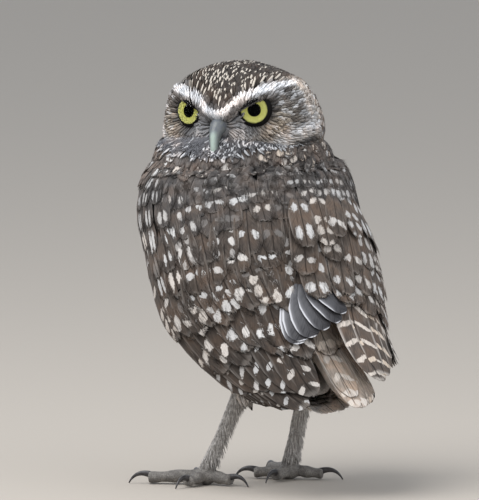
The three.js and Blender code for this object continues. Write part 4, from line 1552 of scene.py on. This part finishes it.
def finishPiece(made, material, slot, *nodes):
    faceOutwards(made)
    made.data.materials.clear()
    made.data.materials.append(material)
    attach(made, "root")
    if nodes:
        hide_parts(*nodes)
    return made


for name, placed in eyes.items():
    iris = eyeMaterial("yellowIris_" + name, placed)
    finishPiece(makeObject("iris_" + name, *ballPoints(irisOutline, placed)), iris, "eye", "eye_" + name)
    finishPiece(makeObject("cornea_" + name, *ballPoints(eyeOutline, placed)), corneaMaterial(), "eye")
    finishPiece(makeObject("lids_" + name, *lidPoints(placed)), lidMaterial(), "head_plumage")
print("eyes and lids done")

# Bill: two halves lofted along curves in the head's middle plane (forward, top)
bill = {
    "upper": {
        "line": [(24, -4), (31.2, -3.2), (34.8, -6), (37.6, -11.8), (39.4, -18.4)],
        "wide": (0.35, 4.5), "tall": (0.4, 4.9), "keep": 0.7, "sides": 24,
    },
    "lower": {
        "line": [(24, -10.5), (30, -11.2), (34.0, -12.8)],
        "wide": (0.4, 2.4), "tall": (0.4, 2.2), "keep": 0.6, "sides": 20,
    },
}


def billMaterial():
    s = Shader("greenishBill")
    aside, top = (s.along(inHead(34, 0, -6), headAxes[i], 1000.0)[1] for i in (1, 2))
    fine = s.noise(700, 4, 0.6)
    # Pale along the middle ridge and darker down the sides: a painted highlight on the culmen and painted shade on the
    # bill's flanks. The blue-grey near the top is the cere's own colour, and the fine noise is its own grain.
    colour = s.over(
        rgb(168, 184, 176),
        (s.span(s.op("ABSOLUTE", aside), 0.3, 2.6), rgb(84, 90, 92)),
        (s.span(top, -1.0, 3.0), rgb(92, 96, 102)),
        (s.span(fine, 0.4, 0.8, 0.0, 0.35), rgb(140, 142, 120)),
    )
    return s.finish(colour, 0.38, fine, 0.25, 0.0002)


def makeBill():
    t = np.linspace(0, 1, 26)
    for name, half in bill.items():
        line = curvePoints([inHead(forward, 0, top) for forward, top in half["line"]], t)
        keep = (1 - t) ** half["keep"]
        wide, tall = (half[k][0] + half[k][1] * keep for k in ("wide", "tall"))
        made = makeObject("bill" + name.title(), *ringTube(tube(line, wide, tall, headAxes[2], half["sides"])))
        finishPiece(made, billMaterial(), "bill", "bill_" + name)


makeBill()
print("bill done")

# Legs, toes and claws
legs = {
    "left": {"hip": (18, 6, 78), "ankle": (15, 20, 49), "foot": (24, 0, 8)},
    "right": {"hip": (-21, 8, 78), "ankle": (-20, 24, 49), "foot": (-24, 2, 8)},
}
# Heading in degrees from straight ahead towards the bird's left, then length and radius
toes = {
    "left": {"hind": (205, 15, 3.2), "inner": (-18, 18, 3.1), "middle": (51, 29, 3.3), "outer": (112, 16, 3.1)},
    "right": {"hind": (118, 14, 3.2), "inner": (48, 18, 3.1), "middle": (-12, 25, 3.3), "outer": (-132, 17, 3.1)},
}
clawLength = 11.0
upright = np.array([0, 0, 1.0])
sideways = np.array([1.0, 0, 0])


def toeHeading(degrees):
    return np.array([math.sin(math.radians(degrees)), -math.cos(math.radians(degrees)), 0])


def toeLine(name, toe, t):
    degrees, length, radius = toe
    base = np.array(legs[name]["foot"], float)
    base[2] = 5.2
    ahead = toeHeading(degrees)
    knuckle, end = base + ahead * length * 0.5, base + ahead * length
    knuckle[2], end[2] = radius + 0.8, radius - 0.1
    return curvePoints([base, knuckle, end], t)


def clawRings(name, toe):
    degrees, _, radius = toe
    ahead = toeHeading(degrees)
    start = toeLine(name, toe, np.array([1.0]))[0] - ahead * 2
    start[2] = radius + 0.9
    middle = start + ahead * clawLength * 0.75 + upright * 3.4
    end = start + ahead * (clawLength + 1)
    end[2] = 0.35
    t = np.linspace(0, 1, 16)
    line = (1 - t)[:, None] ** 2 * start + 2 * ((1 - t) * t)[:, None] * middle + t[:, None] ** 2 * end
    return tube(line, mix(1.5, 0.3, t**0.9), mix(1.9, 0.32, t**0.9), upright, 14)


footPad = {"radius": 5.2, "height": 4.9}
# Turns a sphere's points about X into points about Z
padAxes = np.array([[0, 0, 1.0], [0, 1, 0], [1, 0, 0]])


# Unit vectors round +X, at polar angles from it
def spherePoints(polar, turn):
    return np.stack(
        np.broadcast_arrays(np.cos(polar), np.sin(polar) * np.sin(turn), np.sin(polar) * np.cos(turn)), axis=-1
    )


def flesh():
    # closed shapes that the skin is made from
    parts = []
    stations = np.linspace(0, 9, 50)
    late = np.clip((stations - 7) / 2, 0, 1)
    keep = np.maximum(0.06, np.sqrt(1 - late**2))[:, None, None]
    around = np.linspace(0, 360, 60, endpoint=False)
    rings = onBody(stations[:, None], around[None, :], -2.6)
    centre = fromTable(backTable, stations / lastStation)[:, None]
    parts.append(ringTube(centre + (rings - centre) * keep))
    polar = np.linspace(0.001, math.pi - 0.001, 60)[:, None]
    turn = np.linspace(0, 2 * math.pi, 72, endpoint=False)[None, :]
    way = spherePoints(polar, turn)
    parts.append(ringTube(headPlace(way, np.full(way.shape[:2], -1.2))))
    for name, wing in wingShape.items():
        down = np.linspace(0, 1, 30)[:, None]
        over = np.concatenate([np.linspace(0, 1, 24), np.linspace(1, 0, 24)])[None, :]
        upper = np.repeat([True, False], 24)[None, :]
        s = mix(armShape["top"], armShape["bottom"], down)
        a = mix(armInner(down), armOuter(down), over)
        raised = np.where(upper, armHeight(s, a, wing["pad"]) - 1.6, -3.0)
        parts.append(ringTube(onBody(s + 0 * a, wing["side"] * a, raised, cape=True)))
    t = np.linspace(0, 1, 14)
    tailLine = curvePoints([tail["root"] + [0, -2, -10], tail["root"] + [0, 15, -24]], t)
    parts.append(ringTube(tube(tailLine, mix(10, 7, t), mix(7, 3, t), upright, 20)))
    for name, leg in legs.items():
        hip, ankle, foot = (np.array(leg[k], float) for k in ("hip", "ankle", "foot"))
        line = curvePoints([hip, mix(hip, ankle, 0.5), ankle], t)
        parts.append(ringTube(tube(line, mix(12, 3.6, t**0.8), mix(12, 4.0, t**0.8), sideways, 24)))
        line = curvePoints([ankle + [0, 1, 3], mix(ankle, foot, 0.5), foot + [0, 0, -1]], t)
        wide = 2.9 + 0.9 * bump(t - 1, 0.25) + 0.8 * bump(t, 0.3)
        parts.append(ringTube(tube(line, wide, wide + 0.5, sideways, 20)))
        fine = np.linspace(0, 1, 24)
        for toe in toes[name].values():
            radius = toe[2]
            wave = np.cos(fine * 4 * math.pi)
            wide, tall = radius + 0.2 + 0.35 * wave, radius + 0.3 * wave - 0.4 * fine
            parts.append(ringTube(tube(toeLine(name, toe, fine), wide, tall, upright, 20)))
        theta = np.linspace(0.01, math.pi - 0.01, 16)[:, None]
        phi = np.linspace(0, 2 * math.pi, 24, endpoint=False)[None, :]
        pad = spherePoints(theta, phi) @ padAxes
        parts.append(ringTube(pad * footPad["radius"] + np.array([foot[0], foot[1], footPad["height"]])))
    return joinParts(parts)


skinShape = {
    "voxel": 0.85, "smooth": 6, "lowest": 0.15, "darker": 0.8, "headBelow": 18, "legTop": 62, "legFull": 48,
}


def skinMaterial():
    s = Shader("skinUnderFeathers")
    split = s.node("ShaderNodeSeparateXYZ", {"Vector": s.place()})
    fine, rough = s.noise(900, 4, 0.6), s.noise(260, 3, 0.5)
    scales = s.node("ShaderNodeTexVoronoi", {"Vector": s.place(), "Scale": 1500.0}).outputs["Distance"]
    foot = s.blend(s.span(rough, 0.35, 0.65), rgb(106, 102, 98), rgb(132, 128, 123))
    foot = s.blend(s.span(scales, 0.0, 0.6), rgb(76, 72, 68), foot)
    body = s.blend(1.0, s.colour("ground"), s.blend(fine, (0.6, 0.6, 0.6), (1.1, 1.1, 1.1)), "MULTIPLY")
    colour = s.blend(s.span(split.outputs[2], 0.010, 0.016), foot, body)
    return s.finish(colour, 0.75, s.add(fine, scales), 0.6, 0.0004)


def makeSkin():
    made = makeObject("skin", *flesh())
    faceOutwards(made)
    remesh = made.modifiers.new("oneSkin", "REMESH")
    remesh.mode = "VOXEL"
    remesh.voxel_size = skinShape["voxel"] / 1000
    remesh.use_smooth_shade = True
    soften = made.modifiers.new("soften", "SMOOTH")
    soften.iterations = skinShape["smooth"]
    applyModifiers(made)
    points = worldPoints(made)
    points[:, 2] = np.maximum(points[:, 2], skinShape["lowest"])
    made.data.vertices.foreach_set("co", toWorld(points).astype(np.float32).ravel())
    local = toHead(points)
    onHead = local[:, 2] > -skinShape["headBelow"]
    t = np.linspace(0, 1, 300)
    line = fromTable(backTable, t)
    nearest = np.argmin(np.linalg.norm(points[:, None, 1:] - line[None, :, 1:], axis=-1), axis=1)
    station = t[nearest] * lastStation
    around = np.degrees(np.arctan2(points[:, 0], (points[:, 1] - line[nearest, 1]) + 1e-6))
    ground = ventColour(station, around)
    ground = np.where(onHead[:, None], headColour(local), ground)
    leg = ramp(-points[:, 2], -skinShape["legTop"], -skinShape["legFull"])[:, None]
    ground = mix(ground, ink["legDown"], leg)
    setVector(made, "ground", ground * skinShape["darker"])
    nodes = ["head", "neck", "torso", "wing_left", "wing_right", "tail"]
    nodes += [part + name for name in ("left", "right") for part in ("shin_", "shank_", "foot_")]
    finishPiece(made, skinMaterial(), "plumage", *nodes)
    made.data.polygons.foreach_set("use_smooth", np.full(len(made.data.polygons), True))
    print("skin has", len(made.data.polygons) * 2, "triangles")
    return made


skin = makeSkin()


# Soft feathers of the thighs, from under the body down over the shanks
thigh = {"count": 420, "from": 0.3, "to": 1.0, "length": 9.0, "width": 2.6}


def coverThighs():
    coat = Coat()
    for leg in legs.values():
        hip, ankle = np.array(leg["hip"], float), np.array(leg["ankle"], float)
        n = thigh["count"]
        t = rng.uniform(thigh["from"], thigh["to"], n)
        turn = rng.uniform(0, 2 * math.pi, n)
        heading = unit(ankle - hip)
        aside = unit(np.cross(heading, sideways))
        away = sideways * np.cos(turn)[:, None] + aside * np.sin(turn)[:, None]
        place = hip + (ankle - hip) * t[:, None]
        wide = mix(12, 3.6, t**0.8)[:, None]
        reach = thigh["length"] * rng.uniform(0.7, 1.2, n)[:, None]

        def path(part):
            return place + away * (wide + 0.2 + 1.4 * part - 1.6 * part**2) + heading * reach * part

        ground = layer(ink["legDown"], ink["down"], rng.uniform(0, 0.7, n))
        marks = featherMarks(n, ground, value=rng.normal(1, 0.08, n))
        bake = np.stack([0.62 + 0.36 * turn / (2 * math.pi), 0.56 + 0.14 * t], axis=-1)
        addVanes(coat, path, lambda part: away, thigh["width"], marks, bake, form="small", fray=0.08)
    coat.build("thighFeathers", plumage)


coverThighs()

# Bristles of the shanks: short stiff hairs that lie down the leg, between two heights in mm
bristles = {
    "perSquareMetre": 900000.0,
    "length": 0.0036,
    "thickness": 0.00028,
    "lift": 0.35,
    "seed": 5,
    "shortest": 0.6,
    "longest": 1.2,
    "low": 10.0,
    "high": 66.0,
    "behind": 44,
    "aside": 4,
    "points": 5,
}
bristleInputs = {"Density": "perSquareMetre", "Length": "length", "Thickness": "thickness", "Lift": "lift"}


def bristleMaterial():
    s = Shader("legBristle")
    fine = s.noise(500, 3)
    colour = s.blend(s.span(fine, 0.3, 0.7), rgb(150, 146, 142), rgb(206, 202, 198))
    return s.finish(colour, 0.8, fine, 0.2, 0.0001)


# A node group that sets tapering bristles on its geometry, lying along the way down
def bristleTree(material):
    tree = bpy.data.node_groups.new("bristleTree", "GeometryNodeTree")
    tree.interface.new_socket("Geometry", in_out="INPUT", socket_type="NodeSocketGeometry")
    tree.interface.new_socket("Geometry", in_out="OUTPUT", socket_type="NodeSocketGeometry")
    keys = {"Seed": tree.interface.new_socket("Seed", in_out="INPUT", socket_type="NodeSocketInt").identifier}
    for name in bristleInputs:
        keys[name] = tree.interface.new_socket(name, in_out="INPUT", socket_type="NodeSocketFloat").identifier
    new = tree.nodes.new
    given, result = new("NodeGroupInput"), new("NodeGroupOutput")
    scatter, align = new("GeometryNodeDistributePointsOnFaces"), new("FunctionNodeAlignRotationToVector")
    cone, vary = new("GeometryNodeMeshCone"), new("FunctionNodeRandomValue")
    lifted, added = new("ShaderNodeVectorMath"), new("ShaderNodeVectorMath")
    place, real = new("GeometryNodeInstanceOnPoints"), new("GeometryNodeRealizeInstances")
    dress = new("GeometryNodeSetMaterial")
    cone.inputs["Vertices"].default_value = 4
    lifted.operation, added.operation = "SCALE", "ADD"
    added.inputs[1].default_value = (0, 0, -1)
    align.axis = "Z"
    vary.inputs[2].default_value, vary.inputs[3].default_value = bristles["shortest"], bristles["longest"]
    dress.inputs["Material"].default_value = material
    for start, output, end, socket in (
        (given, "Geometry", scatter, "Mesh"), (given, "Density", scatter, "Density"), (given, "Seed", scatter, "Seed"),
        (given, "Thickness", cone, "Radius Bottom"), (given, "Length", cone, "Depth"),
        (scatter, "Normal", lifted, 0), (given, "Lift", lifted, "Scale"), (lifted, "Vector", added, 0),
        (added, "Vector", align, "Vector"), (given, "Seed", vary, "Seed"), (scatter, "Points", place, "Points"),
        (cone, "Mesh", place, "Instance"), (align, "Rotation", place, "Rotation"), (vary, 1, place, "Scale"),
        (place, "Instances", real, "Geometry"), (real, "Geometry", dress, "Geometry"),
        (dress, "Geometry", result, "Geometry"),
    ):
        tree.links.new(start.outputs[output], end.inputs[socket])
    return tree, keys


def makeBristles(name):
    # the part of the skin that carries them, cut out as faces
    points = worldPoints(skin)
    side = 1 if name == "left" else -1
    corners = np.zeros(len(skin.data.loops), int)
    skin.data.loops.foreach_get("vertex_index", corners)
    quads = corners.reshape(-1, 4)
    middle = points[quads].mean(axis=1)
    chosen = (middle[:, 2] > bristles["low"]) & (middle[:, 2] < bristles["high"])
    chosen &= middle[:, 0] * side > bristles["aside"]
    chosen &= middle[:, 1] < bristles["behind"]
    used, where = np.unique(quads[chosen], return_inverse=True)
    bare = makeObject("shankPatch_" + name, points[used], [where.reshape(-1, 4)])
    tree, keys = bristleTree(bristleMaterial())
    grow = bare.modifiers.new("bristles", "NODES")
    grow.node_group = tree
    for socket, key in {**bristleInputs, "Seed": "seed"}.items():
        grow[keys[socket]] = bristles[key]
    grown = bpy.data.meshes.new_from_object(bare.evaluated_get(bpy.context.evaluated_depsgraph_get()))
    bpy.data.objects.remove(bare)
    made = bpy.data.objects.new("legBristles_" + name, grown)
    bpy.context.scene.collection.objects.link(made)
    roots = worldPoints(made).reshape(-1, bristles["points"], 3).mean(axis=1)
    turn = np.arctan2(roots[:, 1] - 20, roots[:, 0] - side * 20) / (2 * math.pi) + 0.5
    bake = np.stack([0.62 + 0.36 * turn, 0.02 + 0.5 * roots[:, 2] / 70], axis=-1)
    spread = np.array([[-0.4, -0.4], [0.4, -0.4], [0.4, 0.4], [-0.4, 0.4], [0, 0]]) * bakePatch
    setUv(made, "OFBake", (bake[:, None] + spread[None]).reshape(-1, 2))
    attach(made, "root")
    print("legBristles_" + name, "has", len(roots) * 6, "triangles")


for name in legs:
    makeBristles(name)


def clawMaterial():
    s = Shader("darkClaw")
    fine = s.noise(500, 4, 0.6)
    colour = s.blend(s.span(fine, 0.3, 0.7), rgb(34, 32, 34), rgb(70, 66, 66))
    return s.finish(colour, 0.35, fine, 0.3, 0.0002)


def makeClaws():
    parts, nodes = [], []
    for name in ("left", "right"):
        for which, toe in toes[name].items():
            parts.append(ringTube(clawRings(name, toe)))
            nodes.append("claw_" + name + "_" + which)
    finishPiece(makeObject("claws", *joinParts(parts)), clawMaterial(), "claw", *nodes)


makeClaws()
print("legs and claws done")

# Floor, soft light and camera
studio = {
    "floor": rgb(178, 170, 160),
    "floorReach": 3000,
    "sky": rgb(197, 203, 211),
    "skyStrength": 1.05,
    "key": 29.0,
    "fill": 10.0,
    "azimuth": math.radians(148),
    "elevation": math.radians(6),
    "lens": 1000.0,
    "sensor": 24.0,
    "pixelsPerMm": 2.0,
    "imageHigh": 500,
    "imageMiddle": (239.5, 250.0),
    "birdMiddle": (247.0, 482.0),
    "viewForward": 20,
    "lightHeight": 0.12,
    "lightDistance": 1.6,
}


def makeFloor():
    square = np.array([[-1.0, -1, 0], [1, -1, 0], [1, 1, 0], [-1, 1, 0]])
    made = makeObject("floor", square * studio["floorReach"], [np.array([[0, 1, 2, 3]])], smooth=False)
    s = Shader("paleFloor")
    made.data.materials.append(s.finish(studio["floor"], 0.9))


def viewVectors():
    a, e = studio["azimuth"], studio["elevation"]
    back = np.array([math.sin(a) * math.cos(e), -math.cos(a) * math.cos(e), math.sin(e)])
    right = np.array([math.cos(a), math.sin(a), 0])
    return back, right, np.cross(back, right)


def makeCamera():
    back, right, up = viewVectors()
    mm = 1 / studio["pixelsPerMm"]
    u = (studio["imageMiddle"][0] - studio["birdMiddle"][0]) * mm
    v = (studio["birdMiddle"][1] - studio["imageMiddle"][1]) * mm
    target = right * u + up * v + back * studio["viewForward"]
    distance = studio["lens"] / studio["sensor"] * studio["imageHigh"] * mm
    camera = bpy.data.cameras.new("camera")
    camera.lens = studio["lens"]
    camera.sensor_fit = "VERTICAL"
    camera.sensor_height = studio["sensor"]
    camera.clip_end = 100
    made = bpy.data.objects.new("camera", camera)
    made.location = toWorld(target + back * distance)
    made.rotation_euler = Vector(back).to_track_quat("Z", "Y").to_euler()
    bpy.context.scene.collection.objects.link(made)
    bpy.context.scene.camera = made


def areaLight(name, direction, size, power):
    light = bpy.data.lights.new(name, "AREA")
    light.shape = "DISK"
    light.size = size
    light.energy = power
    made = bpy.data.objects.new(name, light)
    way = Vector(direction).normalized()
    made.location = Vector((0, 0, studio["lightHeight"])) + way * studio["lightDistance"]
    made.rotation_euler = way.to_track_quat("Z", "Y").to_euler()
    bpy.context.scene.collection.objects.link(made)


def makeLight():
    back, right, up = viewVectors()
    areaLight("key", back * 0.6 - right * 0.7 + up * 1.3, 1.6, studio["key"])
    areaLight("fill", back * 1.0 + right * 1.2 + up * 0.5, 2.0, studio["fill"])
    world = bpy.data.worlds.new("softSky")
    world.use_nodes = True
    background = world.node_tree.nodes["Background"]
    background.inputs["Color"].default_value = (*studio["sky"], 1)
    background.inputs["Strength"].default_value = studio["skyStrength"]
    bpy.context.scene.world = world
    bpy.context.scene.view_settings.view_transform = "Standard"


makeFloor()
makeCamera()
makeLight()
print("floor, camera and light done")
